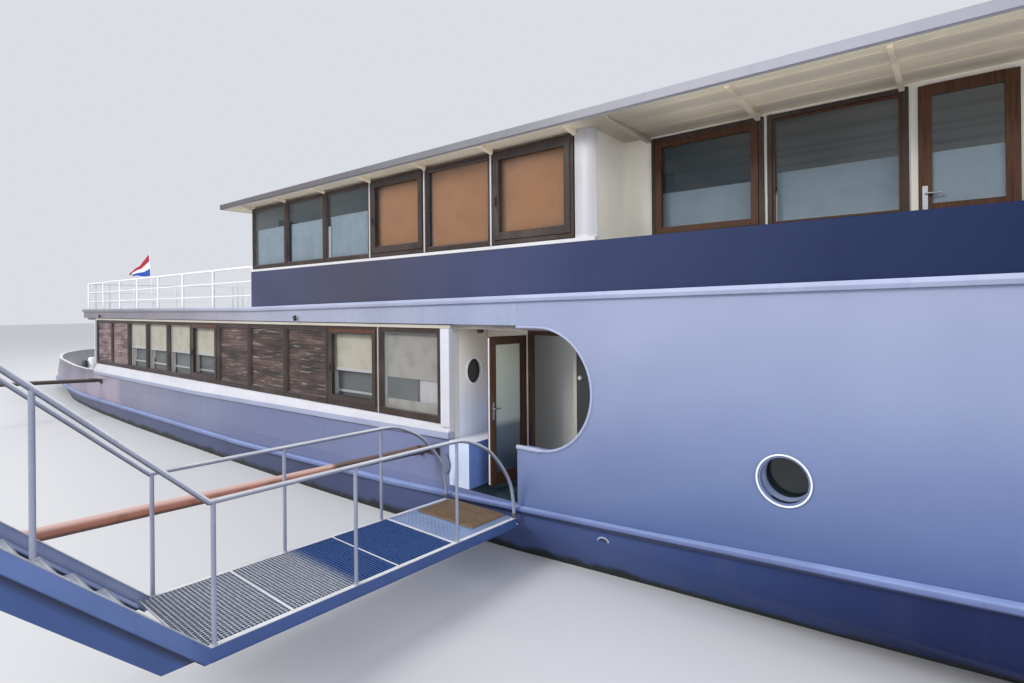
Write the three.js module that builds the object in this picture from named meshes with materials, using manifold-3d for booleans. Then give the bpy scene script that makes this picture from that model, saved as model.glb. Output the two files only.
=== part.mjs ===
// Houseboat: a steel barge hull with a lower cabin, an upper cabin and an aft terrace.
// Millimetres. +X forward to the bow, +Y port, -Y starboard, +Z up, z = 0 at the water.
import * as THREE from 'three';
import { mergeVertices } from 'three/addons/utils/BufferGeometryUtils.js';
import Module from 'manifold-3d';

const wasm = await Module();
wasm.setup();

const GAP = 0.5; // clearance between pieces that sit on each other

// Hull form
const MIDSHIP = -2750; // station that becomes x = 0
const HULL = { keel: -900, deck: 760, foredeck: 1420, knuckle: 500, side: 2700, foreStep: 13000 };
const STRAKE = { aftTop: 520, rise: 0.00517, from: -3000, power: 1.8, height: 100, out: 62 };

// Levels of the two storeys
const LEVEL = {
  lowSill: 1564, lowHead: 2905, fasciaFoot: 2968, fasciaTop: 3150, deckTop: 3150, trim: 82,
  bandTop: 3940, upSill: 4000, upHead: 5180, wallTop: 5232, eave: 5240, roofEdge: 5312, roofRidge: 5390,
};

// Stations along the boat
const LOW = { aft: -11520, fore: 3912, bay: 1395, bays: 11, post: 4118, postW: 72, foreWall: 12900 };
const UP = { aft: -1460, fore: 6180, bay: 1265, bays: 6, column: 6450, foreWall: 11600, foreRail: 12640 };
const RECESS = { depth: 840, wallT: 70 };
const SILL = { bend: -4050, edges: [1322, 1345, 1475], lip: 92, out: 22, box: 1370 };
const PORCH = { aft: 4118, gapAft: 4490, gapFore: 5317, fore: 6700, backY: -1880, sill: 1440,
  portPlate: 4350 };
const SIDE_PORT = { y: -2193, z: 2282, ry: 150, rz: 178 };
const DSHAPE = { x: 5650, z: 2205, r: 745 };
const PORTHOLE = { x: 8390, z: 1610, r: 205, ring: 240, pane: -2500, tube: -2460 };
const TERRACE = { aft: -12600, railTop: 4060, postR: 17, railR: 21, inset: 112 };
const ROOF = { aft: -2150, fore: 12900, over: 2950 };
const GANGWAY = { x0: 4150, x1: 5370, y0: -2790, out: 3590, z0: 612, z1: 722, depth: 116, rail: 1060,
  hinge: 530 };
const STAIR = { out: 1500, rise: 1460, treads: 6, pitch: 206, first: 330, drop: 105, depth: 162, low: 372 };
const BOOM = { out: 5600, r: 58, y: -2790 };

// Helpers
const V = (x, y, z) => new THREE.Vector3(x, y, z);
const lerp = (a, b, t) => a + (b - a) * t;

function table(rows, key) {
  if (key <= rows[0][0]) return rows[0][1];
  for (let i = 1; i < rows.length; i += 1) {
    if (key <= rows[i][0]) {
      const t = (key - rows[i - 1][0]) / (rows[i][0] - rows[i - 1][0]);
      return lerp(rows[i - 1][1], rows[i][1], t);
    }
  }
  return rows[rows.length - 1][1];
}

// smooth curve through the rows of a table, which never swings past them
function curve(rows, key) {
  const n = rows.length;
  if (key <= rows[0][0]) return rows[0][1];
  if (key >= rows[n - 1][0]) return rows[n - 1][1];
  const slope = (i) => (rows[i + 1][1] - rows[i][1]) / (rows[i + 1][0] - rows[i][0]);
  const tangent = (i) => {
    if (i === 0 || i === n - 1) return slope(Math.min(i, n - 2));
    const [a, b] = [slope(i - 1), slope(i)];
    return a * b <= 0 ? 0 : (2 * a * b) / (a + b);
  };
  const i = rows.findIndex(([k]) => key < k) - 1;
  const h = rows[i + 1][0] - rows[i][0];
  const t = (key - rows[i][0]) / h;
  const ease = t * t * (3 - 2 * t);
  return lerp(rows[i][1], rows[i + 1][1],
    ease) + h * t * (1 - t) * ((1 - t) * tangent(i) - t * tangent(i + 1));
}

function weld(geometry) {
  const bare = new THREE.BufferGeometry();
  bare.setAttribute('position', geometry.getAttribute('position').clone());
  if (geometry.index) bare.setIndex(geometry.index.clone());
  return mergeVertices(bare, 1e-3);
}

function solid(geometry) {
  const g = weld(geometry);
  return new wasm.Manifold(new wasm.Mesh({
    numProp: 3,
    vertProperties: new Float32Array(g.getAttribute('position').array),
    triVerts: new Uint32Array(g.index.array),
  }));
}

function mesh(manifold) {
  const m = manifold.getMesh();
  const g = new THREE.BufferGeometry();
  g.setAttribute('position', new THREE.BufferAttribute(Float32Array.from(m.vertProperties), 3));
  g.setIndex(new THREE.BufferAttribute(Uint32Array.from(m.triVerts), 1));
  return g;
}

const join = (list) => mesh(list.map(solid).reduce((a, b) => a.add(b)));
const cut = (base, cutters) => mesh(cutters.map(solid).reduce((a, b) => a.subtract(b), solid(base)));

function box(x0, x1, y0, y1, z0, z1) {
  const g = new THREE.BoxGeometry(x1 - x0, y1 - y0, z1 - z0);
  return g.translate((x0 + x1) / 2, (y0 + y1) / 2, (z0 + z1) / 2);
}

const outline = (points) => new THREE.Shape(points.map(([a, b]) => new THREE.Vector2(a, b)));
const prism = (points, depth) => new THREE.ExtrudeGeometry(outline(points), { depth, bevelEnabled: false,
  steps: 1 });

// plate drawn in X and Y with its holes cut through, solid from z0 to z1
function slab(points, holes, z0, z1) {
  const plate = prism(points, z1 - z0);
  const through = holes.map((h) => prism(h, z1 - z0 + 20).translate(0, 0, -10));
  return (holes.length ? cut(plate, through) : plate).translate(0, 0, z0);
}

// panel drawn in X and Z, solid from y0 to y1
const panelXZ = (points, holes, y0, y1) => slab(points, holes, 0, y1 - y0).rotateX(Math.PI / 2).translate(0,
  y1, 0);

// panel drawn in Y and Z, solid from x0 to x1
function panelYZ(points, holes, x0, x1) {
  const turn = new THREE.Matrix4().makeBasis(V(0, 1, 0), V(0, 0, 1), V(1, 0, 0));
  return slab(points, holes, 0, x1 - x0).applyMatrix4(turn).translate(x0, 0, 0);
}

const rect = (a0, a1, b0, b1) => [[a0, b0], [a1, b0], [a1, b1], [a0, b1]];

function disc(a, b, r, sides = 28) {
  return Array.from({ length: sides }, (_, i) => {
    const t = (i / sides) * 2 * Math.PI;
    return [a + r * Math.cos(t), b + r * Math.sin(t)];
  });
}

// round bar between two points
function rod(a, b, r, sides = 8) {
  const d = b.clone().sub(a);
  const g = new THREE.CylinderGeometry(r, r, d.length(), sides);
  g.applyQuaternion(new THREE.Quaternion().setFromUnitVectors(V(0, 1, 0), d.clone().normalize()));
  return g.translate((a.x + b.x) / 2, (a.y + b.y) / 2, (a.z + b.z) / 2);
}

// triangles that close a flat section, in the order its points turn
function endFaces(section) {
  const p = section.map((q) => V(...q));
  const normal = V();
  p.forEach((q, i) => normal.add(q.clone().cross(p[(i + 1) % p.length])));
  const u = p[1].clone().sub(p[0]).normalize();
  const v = normal.normalize().clone().cross(u);
  const flat = p.map((q) => new THREE.Vector2(q.dot(u), q.dot(v)));
  return THREE.ShapeUtils.triangulateShape(flat, []);
}

// closed solid through a list of sections, each the same number of [x, y, z] points
function loft(sections, ring = false) {
  const n = sections[0].length;
  const pos = sections.flat().flat();
  const idx = [];
  const last = ring ? sections.length : sections.length - 1;
  for (let s = 0; s < last; s += 1) {
    const a = s * n;
    const b = ((s + 1) % sections.length) * n;
    for (let i = 0; i < n; i += 1) {
      const j = (i + 1) % n;
      idx.push(a + i, a + j, b + j, a + i, b + j, b + i);
    }
  }
  if (!ring) {
    const e = (sections.length - 1) * n;
    endFaces(sections[0]).forEach(([a, b, c]) => idx.push(a, c, b));
    endFaces(sections[sections.length - 1]).forEach(([a, b, c]) => idx.push(e + a, e + b, e + c));
  }
  const g = new THREE.BufferGeometry();
  g.setAttribute('position', new THREE.BufferAttribute(new Float32Array(pos), 3));
  g.setIndex(idx);
  return outward(g);
}

function outward(g) {
  const p = g.getAttribute('position');
  const ix = g.index.array;
  let six = 0;
  for (let i = 0; i < ix.length; i += 3) {
    const [a, b, c] = [0, 1, 2].map((k) => V().fromBufferAttribute(p, ix[i + k]));
    six += a.dot(b.cross(c));
  }
  if (six < 0) for (let i = 0; i < ix.length; i += 3) [ix[i + 1], ix[i + 2]] = [ix[i + 2], ix[i + 1]];
  return g;
}

function mirrored(g) {
  const m = g.clone().applyMatrix4(new THREE.Matrix4().makeScale(1, -1, 1));
  const ix = m.index ? m.index.array : null;
  if (!ix) return mirrored(weld(g));
  for (let i = 0; i < ix.length; i += 3) [ix[i + 1], ix[i + 2]] = [ix[i + 2], ix[i + 1]];
  return m;
}

const model = new THREE.Group();
model.name = 'houseboat';
function add(name, geometry, colour) {
  const material = new THREE.MeshStandardMaterial({ color: colour, side: THREE.FrontSide });
  material.name = name;
  const m = new THREE.Mesh(geometry.clone().translate(-MIDSHIP, 0, 0), material);
  m.name = name;
  model.add(m);
}
function addPair(name, geometry, colour) {
  add(`${name}_starboard`, geometry, colour);
  add(`${name}_port`, mirrored(weld(geometry)), colour);
}

// Hull form
// columns: station, half breadth of the hull at the keel, at the water and above the knuckle
const FOOT = [[-18500, 0], [-18000, 500], [-16500, 1200], [-14000, 1900], [-11000, 2300], [-8000, 2420], [0,
  2420],
  [4700, 2100], [7000, 1850], [10000, 1400], [12500, 850], [14500, 300], [15200, 0]];
const WATER = [[-20900, 0], [-20600, 600], [-20000, 1100], [-18800, 1650], [-17000, 2050], [-15000, 2350],
  [-13300, 2470],
  [-11000, 2600], [-8000, 2660], [-2500, 2660], [1000, 2600], [4700, 2430], [6600, 2220], [9000, 1980],
    [11000, 1720],
  [13000, 1280], [14500, 800], [15600, 350], [16100, 0]];
const EDGE = [[-22000, 0], [-21850, 550], [-21400, 1050], [-20600, 1550], [-19500, 1880], [-18200, 2100],
  [-17200, 2220],
  [-15300, 2460], [-13300, 2640], [-11500, 2700], [10200, 2700], [11500, 2640], [12800, 2460], [14000, 2120],
  [15000, 1650], [15800, 1100], [16300, 550], [16500, 0]];
const ENDS = [-21960, 16465];

function halfBreadth(x, z) {
  const [foot, water, edge] = [FOOT, WATER, EDGE].map((rows) => curve(rows, x));
  if (z < 0) return lerp(water, foot, z / HULL.keel);
  return lerp(water, edge, Math.min(1, z / HULL.knuckle));
}

// height of the hull's foot, which rises towards the two tips
function footAt(x) {
  // columns: station, height
  return table([[-22000, 500], [-20900, 0], [-18500, HULL.keel], [15200, HULL.keel], [16100, 0], [16500,
    500]], x);
}
const strakeTop = (x) => STRAKE.aftTop
  + (x > STRAKE.from ? STRAKE.rise * ((x - STRAKE.from) / 1000) ** STRAKE.power * 1000 : 0)
  + (x < -18000 ? 50 * ((-18000 - x) / 4000) ** 1.5 : 0) - 20;
const trimLow = (x) => LEVEL.fasciaTop + 10 + (x > -1500 ? 15 * ((x + 1500) / 1000) : 0);

// plan of the hull's edge on starboard between two stations: [x, y]
function edgePlan(x0, x1) {
  const rows = EDGE.map(([x]) => x);
  const between = rows.slice(1).map((x, i) => (x + rows[i]) / 2);
  const long = [-8000, -5000, -2000, 1000, 3000, 5000, 7000, 8500];
  const inside = [...rows, ...between, ...long, HULL.foreStep - 1, HULL.foreStep + 1]
    .filter((x) => x > x0 + 0.5 && x < x1 - 0.5).sort((p, q) => p - q);
  return [x0, ...inside, x1].map((x) => [x, -halfBreadth(x, HULL.knuckle)]);
}

// plan offset inwards by d along its normal
function offsetPlan(plan, d) {
  return plan.map(([x, y], i) => {
    const a = plan[Math.max(0, i - 1)];
    const b = plan[Math.min(plan.length - 1, i + 1)];
    const t = new THREE.Vector2(b[0] - a[0], b[1] - a[1]).normalize();
    return [x - t.y * d, y + t.x * d];
  });
}

// wall that follows the hull's edge: outer face at `out` inside the edge, `thick` through
function edgeWall(plan, out, thick, low, high) {
  const o = offsetPlan(plan, out);
  const n = offsetPlan(plan, out + thick);
  return loft(plan.map(([x], i) => [
    [...o[i], low(x)], [...o[i], high(x)], [...n[i], high(x)], [...n[i], low(x)],
  ]));
}

// bulwark with a cap rail right round one end of the hull; its top leans inwards by lean(x)
function bulwark(plan, low, high, lean, [capOut, capIn, capH]) {
  // columns: distance in from the edge, height above the wall's top, or null at its foot
  const section = [[2, null], [2, 0], [capOut, 0], [capOut, capH], [capIn, capH], [capIn, 0], [62, 0], [62,
    null]];
  const at = section.map(([d, h]) => plan.map((_, i) => offsetPlan(plan,
    d + (h === null ? 0 : lean(plan[i][0])))[i]));
  const side = plan.map(([x], i) => section.map(([, h], k) => [...at[k][i], h === null ? low : high(x) + h]));
  if (plan[0][0] < 0) side.reverse();
  const other = side.map((s) => s.map(([x, y, z]) => [x, -y, z])).reverse();
  return loft([...side, ...other]);
}

function hull() {
  const levels = [0, 0.357, 0.6, 0.82, 1]; // share of the way down from the knuckle to the foot
  return loft(edgePlan(...ENDS).map(([x]) => {
    const heights = [x > HULL.foreStep ? HULL.foredeck : HULL.deck, ...levels.map((f) => lerp(HULL.knuckle,
      footAt(x), f))];
    const side = heights.map((z) => [x, -Math.max(18, halfBreadth(x, z)), z]);
    return [...side, ...side.map(([a, b, c]) => [a, -b, c]).reverse()];
  }));
}
add('hull', hull(), '#8f95ac');

// half-round rubbing strake all the way round
function strake() {
  const plan = edgePlan(...ENDS);
  const h = STRAKE.height;
  const prof = [[0, 0], [0.75, 0.1], [1, 0.3], [1, 0.7], [0.75, 0.9], [0, 1]];
  const inner = offsetPlan(plan, -1.5);
  const outer = offsetPlan(plan, -STRAKE.out);
  const ring = plan.map(([x], i) => prof.map(([f, g]) => [
    lerp(inner[i][0], outer[i][0], f), lerp(inner[i][1], outer[i][1], f), strakeTop(x) - h + h * g,
  ]));
  const other = ring.map((s) => s.map(([x, y, z]) => [x, -y, z])).reverse();
  return loft([...ring, ...other], true);
}
add('rubbing_strake', strake(), '#b9bccb');

// Stern and bow bulwarks
const sternTop = (x) => curve([[-22000, 1430], [-20000, 1372], [-18000, 1312], [-12500, 1308], [-11000,
  1370]], x);
const sternLean = (x) => (x < -17500 ? 280 * ((-17500 - x) / 4500) ** 1.5 : 0);
add('bulwark_stern', bulwark(edgePlan(ENDS[0], LOW.aft - 10), HULL.deck + GAP, sternTop, sternLean, [-6, 74,
  22]), '#9aa0b8');

const bowTop = (x) => 2250 + 26 * (Math.max(0, x - 13000) / 1000) ** 1.6;
add('bulwark_bow', bulwark(edgePlan(HULL.foreStep + 12, ENDS[1] - 20), HULL.foredeck + GAP, bowTop, () => 0,
  [-30, 100, 45]),
  '#8f95ac');

// Lower cabin
const DECK = HULL.deck + GAP;
const WALL = { out: 2585, in: 2500 };

// sloped sill with its proud lip under the lower windows, the white end posts, and the low box beside the
// porch
function coaming(boxIn) {
  const stations = [LOW.aft, SILL.bend, LOW.post - GAP];
  const [side, top] = [-HULL.side, LEVEL.lowSill - 8];
  const run = loft(SILL.edges.map((z, i) => [
    [0, side, DECK], [0, side, z - SILL.lip], [0, side - SILL.out, z - SILL.lip], [0, side - SILL.out, z],
    [0, side + 68, top], [0, side + 105, top], [0, side + 105, DECK],
  ].map(([, y, up]) => [stations[i], y, up])));
  const posts = [[LOW.aft, LOW.aft + LOW.postW - 2], [LOW.fore + 32, LOW.post - GAP]]
    .map(([x0, x1]) => box(x0, x1, -2690, -2590, 1540, LEVEL.lowHead));
  const tie = box(LOW.post - 1, LOW.post + 60, side, side + 100, DECK, SILL.box);
  const low = boxIn ? [box(LOW.post + 1, PORCH.gapAft, side, boxIn, DECK, SILL.box)] : [];
  return join([run, tie, ...posts, ...low]);
}
add('coaming_starboard', coaming(PORCH.backY - 30), '#d9dbe2');
add('coaming_port', mirrored(weld(coaming(0))), '#d9dbe2');

const lowBays = Array.from({ length: LOW.bays }, (_, i) => {
  const x1 = LOW.fore - i * LOW.bay;
  return { x0: x1 - LOW.bay, x1 };
});
const bayHoles = (bays, edge, z0, z1) => bays.map((b) => rect(b.x0 + edge, b.x1 - edge, z0, z1));

addPair('wall_lower', panelXZ(rect(LOW.aft, LOW.post - 2, DECK, LEVEL.lowHead),
  bayHoles(lowBays, 110, LEVEL.lowSill + 60, LEVEL.lowHead - 80), -WALL.out, -WALL.in), '#e8e4d8');
addPair('frames_lower', panelXZ(rect(LOW.aft + LOW.postW, LOW.fore + 30, LEVEL.lowSill, LEVEL.lowHead),
  bayHoles(lowBays, 55, LEVEL.lowSill + 60, LEVEL.lowHead - 60), -2650, -2600), '#5a3626');
addPair('glass_lower', box(LOW.aft + 90, LOW.fore, -2598, -2590, LEVEL.lowSill + 20, LEVEL.lowHead - 20),
  '#9fb0b4');

// aft and fore end walls of the lower cabin
const doorHole = (y0, y1, z1) => rect(y0, y1, DECK + 60, z1);
add('wall_lower_aft', panelYZ(rect(-2495, 2495, DECK, LEVEL.lowHead),
  [doorHole(-450, 450, 2760), rect(-2000, -900, 1600, 2700), rect(900, 2000, 1600, 2700)],
  LOW.aft, LOW.aft + 85), '#ece9df');
add('wall_lower_fore', panelYZ(rect(-2280, 2280, HULL.foredeck + GAP, 3140),
  [rect(-450, 450, 1480, 3050)], HULL.foreStep + 10, HULL.foreStep + 90), '#8f95ac');

// Forward side plating with the round openings
const platePlan = edgePlan(PORCH.gapFore, HULL.foreStep - 1);
const plate = (plan, foot) => edgeWall(plan, 0, 70, foot, (x) => trimLow(x) - GAP);
const dCutter = panelXZ([
  ...Array.from({ length: 25 }, (_, i) => {
    const a = -Math.PI / 2 + (i / 24) * Math.PI;
    return [DSHAPE.x + DSHAPE.r * Math.cos(a), DSHAPE.z + DSHAPE.r * Math.sin(a)];
  }), [4000, DSHAPE.z + DSHAPE.r], [4000, DSHAPE.z - DSHAPE.r],
], [], -2900, -2400);
const portCutter = panelXZ(disc(PORTHOLE.x, PORTHOLE.z, PORTHOLE.r), [], -2900, -2400);
const plateFoot = (x) => (x > HULL.foreStep ? HULL.foredeck : HULL.deck) + GAP;
add('plating_starboard', cut(plate(platePlan, plateFoot), [dCutter, portCutter]), '#8f95ac');
add('plating_port', mirrored(weld(cut(plate(edgePlan(PORCH.portPlate, HULL.foreStep - 1), plateFoot),
  [portCutter]))), '#8f95ac');
add('porch_sill_fore', box(PORCH.gapFore + 5, 6440, -2625, -2500, DECK, PORCH.sill), '#e6e7ec');

// porthole: ring on the outside, a deep tube and its round pane
const portRing = panelXZ(disc(PORTHOLE.x, PORTHOLE.z, PORTHOLE.ring), [disc(PORTHOLE.x, PORTHOLE.z, 190)],
  -2722, -2700.5);
const portTube = panelXZ(disc(PORTHOLE.x, PORTHOLE.z, 202), [disc(PORTHOLE.x, PORTHOLE.z, 190)], -2710,
  PORTHOLE.tube);
const portPane = panelXZ(disc(PORTHOLE.x, PORTHOLE.z, 195), [], PORTHOLE.pane, PORTHOLE.pane + 10);
addPair('porthole', join([portRing, portTube, portPane]), '#f4f4f2');

// Porch
add('porch_wall_aft', panelYZ(rect(-2495, PORCH.backY - 1, DECK, LEVEL.lowHead),
  [disc(0, 0, 1).map(([a, b]) => [SIDE_PORT.y + a * SIDE_PORT.ry, SIDE_PORT.z + b * SIDE_PORT.rz])],
  PORCH.aft - 80, PORCH.aft), '#f0f0ec');
add('porch_wall_back', join([panelXZ(rect(PORCH.aft - 80, PORCH.fore, DECK, LEVEL.lowHead),
  [rect(4930, 5640, DECK + 40, 2850)], PORCH.backY, PORCH.backY + 70),
panelYZ(rect(-2625, PORCH.backY + 2, DECK, LEVEL.lowHead), [], PORCH.fore - 70, PORCH.fore)]), '#d8dade');

// entrance door, standing open a little past square to the wall
const ENTRANCE = { x: 4862, y: -1895, wide: 680, thick: 60, open: 98 };
function entranceDoor() {
  const e = ENTRANCE;
  const leaf = panelXZ(rect(10, e.wide, 830, 2800), [rect(105, e.wide - 95, 960, 2690)], -e.thick, 0);
  const pane = box(103, e.wide - 93, -36, -24, 958, 2692);
  const stem = rod(V(e.wide - 50, -e.thick - 34, 1830), V(e.wide - 50, 34, 1830), 11);
  const levers = [-e.thick - 40, 28].map((y) => box(e.wide - 170, e.wide - 40, y, y + 12, 1820, 1840));
  const turn = new THREE.Matrix4().makeRotationZ(-e.open * (Math.PI / 180));
  return join([leaf, pane, stem, ...levers]).applyMatrix4(turn).translate(e.x, e.y, 0);
}
add('entrance_door', entranceDoor(), '#6b4430');

// Upper deck and fascia
const HALF_DECK = 2618;
add('upper_deck', slab([[TERRACE.aft + 112, -HALF_DECK], [10300, -HALF_DECK], [11800, -2420],
  [LOW.foreWall - 5, -2130],
  [LOW.foreWall - 5, 2130], [11800, 2420], [10300, HALF_DECK], [TERRACE.aft + 112, HALF_DECK]],
[], LEVEL.lowHead + GAP, LEVEL.deckTop), '#cfc9b8');

// light band round the deck's edge with a bead along its top, from the plating on one side to the other
function fascia() {
  // columns: distance in from the bead's face, height above the band's top, or null at its foot
  const section = [[35, null], [35, 0], [0, 0], [0, LEVEL.trim], [110, LEVEL.trim], [110, null]];
  const at = (x, side, corner) => section.map(([d, h]) => [corner ? x + d : x, side * (2735 - d),
    h === null ? LEVEL.fasciaFoot : trimLow(x) + h]);
  return loft([at(PORCH.gapFore - 1, -1), at(-1500, -1), at(TERRACE.aft, -1, true), at(TERRACE.aft, 1, true),
    at(-1500, 1), at(PORCH.portPlate - 1, 1)]);
}
add('fascia', fascia(), '#dfe0e4');
const bead = (x) => edgeWall(edgePlan(x, HULL.foreStep - 1), -35, 112, (q) => trimLow(q) + 1,
  (q) => trimLow(q) + LEVEL.trim);
add('trim_fore_starboard', bead(PORCH.gapFore), '#f4f4f2');
add('trim_fore_port', mirrored(bead(PORCH.portPlate)), '#f4f4f2');

// Upper cabin
const upBays = Array.from({ length: UP.bays }, (_, i) => ({ x0: UP.aft + 40 + i * UP.bay,
  x1: UP.aft + 40 + (i + 1) * UP.bay }));
function bandRing() {
  const plan = [[UP.aft, -2690], [6000, -2690], [10300, -2690], [11700, -2480], [UP.foreRail, -2240]];
  const low = (x) => trimLow(x) + LEVEL.trim + 2;
  const side = (x, y, t) => [[x, y, low(x)], [x, y, LEVEL.bandTop], [x - t, y + 62, LEVEL.bandTop], [x - t,
    y + 62, low(x)]];
  const half = plan.map(([x, y]) => side(x, y, x > 12000 ? 62 : 0));
  const other = half.map((s2) => s2.map(([x, y, z]) => [x, -y, z])).reverse();
  return loft([...half, ...other]);
}
add('band', bandRing(), '#3b4558');
function bandCap() {
  const strip = box(UP.aft, UP.column, -2700, -2610, LEVEL.bandTop + 1, LEVEL.bandTop + 45);
  const column = slab([[6185, -2690], [6300, -2690], [6395, -2660], [6440, -2612], [6185, -2612]], [], 3984,
    LEVEL.wallTop);
  return join([strip, column]);
}
addPair('band_cap', bandCap(), '#eceef0');

const upWall = panelXZ(rect(UP.aft, UP.column - 270, 3986, LEVEL.wallTop),
  bayHoles(upBays, 28, LEVEL.upSill + 28, LEVEL.upHead - 28), -2680, -2630);
addPair('wall_upper', upWall, '#4a3026');
addPair('glass_upper', box(UP.aft + 20, UP.fore - 5, -2628, -2620, 3986, LEVEL.wallTop - 20), '#8fa3aa');
add('wall_upper_aft', panelYZ(rect(-2600, 2600, LEVEL.deckTop + GAP, LEVEL.wallTop),
  [rect(-2100, -150, LEVEL.deckTop + 80, 5050), rect(150, 2100, 3950, 5050)], UP.aft - 62, UP.aft - 2),
    '#e9e6dc');

// recessed gallery: inner walls with windows and a doorway on each side
const RECESS_Y = 2660 - RECESS.depth;
const GALLERY_DOOR = { x0: 9350, x1: 10050, z1: 5170 };
const recessHoles = [rect(6800, 7960, 4060, 5150), rect(8110, 9220, 4060, 5150),
  rect(GALLERY_DOOR.x0 + 25, GALLERY_DOOR.x1 - 25, 3200, 5145), rect(10300, 11400, 4060, 5150)];
addPair('wall_recess', join([
  panelXZ(rect(UP.column - 70, UP.foreWall, LEVEL.deckTop + GAP, LEVEL.wallTop), recessHoles,
    -RECESS_Y, -RECESS_Y + RECESS.wallT),
  panelYZ(rect(-2600, -RECESS_Y + RECESS.wallT, LEVEL.deckTop + GAP, LEVEL.wallTop), [], UP.column - 130,
    UP.column - 69),
]), '#d9dadd');
addPair('glass_recess', box(6770, 9260, -RECESS_Y + 72, -RECESS_Y + 80, 3980, 5180), '#8fa3aa');
add('wall_upper_fore', panelYZ(rect(-RECESS_Y + 72, RECESS_Y - 72, LEVEL.deckTop + GAP, LEVEL.wallTop),
  [rect(-1500, -60, 4000, 5120), rect(60, 1500, 4000, 5120)], UP.foreWall - 70, UP.foreWall), '#d9dadd');
function galleryDoor() {
  const d = GALLERY_DOOR;
  const y = -RECESS_Y - 8;
  const leaf = panelXZ(rect(d.x0, d.x1, 3185, d.z1), [rect(d.x0 + 95, d.x1 - 95, 3330, d.z1 - 110)], y - 40,
    y);
  const pane = box(d.x0 + 93, d.x1 - 93, y - 26, y - 16, 3328, d.z1 - 108);
  const stem = rod(V(d.x0 + 50, y - 62, 4190), V(d.x0 + 50, y - 20, 4190), 10);
  const lever = box(d.x0 + 40, d.x0 + 160, y - 70, y - 56, 4181, 4199);
  return join([leaf, pane, stem, lever]);
}
addPair('gallery_door', galleryDoor(), '#e4e5e8');

// terrace door: one leaf slides along the aft wall
function terraceDoor() {
  const x = UP.aft - 70;
  const [y0, y1, z0, z1] = [-2130, -1110, LEVEL.deckTop + 60, 5080];
  return join([panelYZ(rect(y0, y1, z0, z1), [rect(y0 + 90, y1 - 90, z0 + 110, z1 - 90)], x - 45, x),
    box(x - 30, x - 20, y0 + 88, y1 - 88, z0 + 108, z1 - 88), rod(V(x - 80, y1 - 45, 4000), V(x - 80,
      y1 - 45, 4350), 12),
    box(x - 84, x - 30, y1 - 53, y1 - 37, 4030, 4050), box(x - 84, x - 30, y1 - 53, y1 - 37, 4300, 4320)]);
}
add('terrace_door', terraceDoor(), '#5a3626');
function aftDoor() {
  const x = LOW.aft - 8;
  const [y0, y1, z0, z1] = [-470, 470, DECK + 45, 2775];
  return join([panelYZ(rect(y0, y1, z0, z1), [rect(y0 + 110, y1 - 110, 1500, z1 - 120)], x - 45, x),
    box(x - 30, x - 20, y0 + 108, y1 - 108, 1498, z1 - 118), rod(V(x - 75, y1 - 60, 1780), V(x - 30, y1 - 60,
      1780), 11),
    box(x - 82, x - 68, y1 - 180, y1 - 50, 1771, 1789)]);
}
add('aft_door', aftDoor(), '#5a3626');

// Roof
const roofSection = [[-ROOF.over, LEVEL.eave], [-ROOF.over, LEVEL.roofEdge], [0, LEVEL.roofRidge],
  [ROOF.over, LEVEL.roofEdge],
  [ROOF.over, LEVEL.eave]];
add('roof', panelYZ(roofSection, [], ROOF.aft, ROOF.fore), '#cfd1d6');
// gutter rail right round the roof's edge
add('gutter', slab(rect(ROOF.aft - 26, ROOF.fore + 26, -2976, 2976), [rect(ROOF.aft - 1, ROOF.fore + 1,
  -2951, 2951)],
  LEVEL.eave - 6, LEVEL.roofEdge + 18), '#b4b6bd');

// soffit lining under the roof with the sloping brackets that carry it
function eaves() {
  const arm = (x, wallY, out) => panelYZ([[wallY - 1, LEVEL.eave - 7], [wallY - out, LEVEL.eave - 7],
    [wallY - out, 5212], [wallY - 1, 5165]], [], x - 22, x + 22);
  const aft = Array.from({ length: 7 }, (_, i) => arm(UP.aft + 60 + i * UP.bay, -2692, 220));
  const fore = [6700, 7965, 9230, 10495, 11560].map((x) => arm(x, -RECESS_Y - 1, 1040));
  const lining = slab(rect(ROOF.aft + 30, ROOF.fore - 30, -2900, 2900), [], LEVEL.wallTop + GAP,
    LEVEL.eave - GAP);
  const sides = [...aft, ...fore];
  return join([lining, ...sides, ...sides.map((g) => mirrored(weld(g)))]);
}
add('eaves', eaves(), '#f0ece0');

// Terrace railing, flagstaff and flag
function railing() {
  const y = 2700 - TERRACE.inset;
  const [xa, xf, zt, zd] = [TERRACE.aft + 135, UP.aft - 120, TERRACE.railTop, LEVEL.deckTop + 2];
  const posts = [xa, -11000, -9500, -8100, -6600, -5050, -3400, xf].flatMap((x) => [-1, 1].map((k) => [x,
    k * y]));
  [-1300, 0, 1300].forEach((yy) => posts.push([xa, yy]));
  const bars = [zt, zt - 290, zt - 580].flatMap((z, i) => {
    const r = i ? 9 : TERRACE.railR;
    return [[V(xa, -y, z), V(xf, -y, z)], [V(xa, y, z), V(xf, y, z)], [V(xa, -y, z), V(xa, y, z)]].map(([a,
      b]) => rod(a, b, r, 6));
  });
  const staff = [rod(V(xa - 82, -700, 3250), V(xa - 420, -700, 5250), 20, 8), box(xa - 225, xa, -725, -675,
    zt - 18, zt + 18),
    box(xa - 125, xa, -725, -675, zt - 595, zt - 565)];
  return join([...bars, ...posts.map(([x, yy]) => rod(V(x, yy, zd), V(x, yy, zt + 12), TERRACE.postR, 6)),
    ...staff]);
}
add('terrace_railing', railing(), '#eef0f0');
// the flag droops from the staff's top, out to the aft and starboard
const flag = panelXZ([[-35, 5230], [50, 4420], [-800, 4400], [-845, 4510]], [], -16, 16);
add('flag', flag.rotateZ(39 * (Math.PI / 180)).translate(-12890, -700, 0), '#b8412f');

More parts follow.
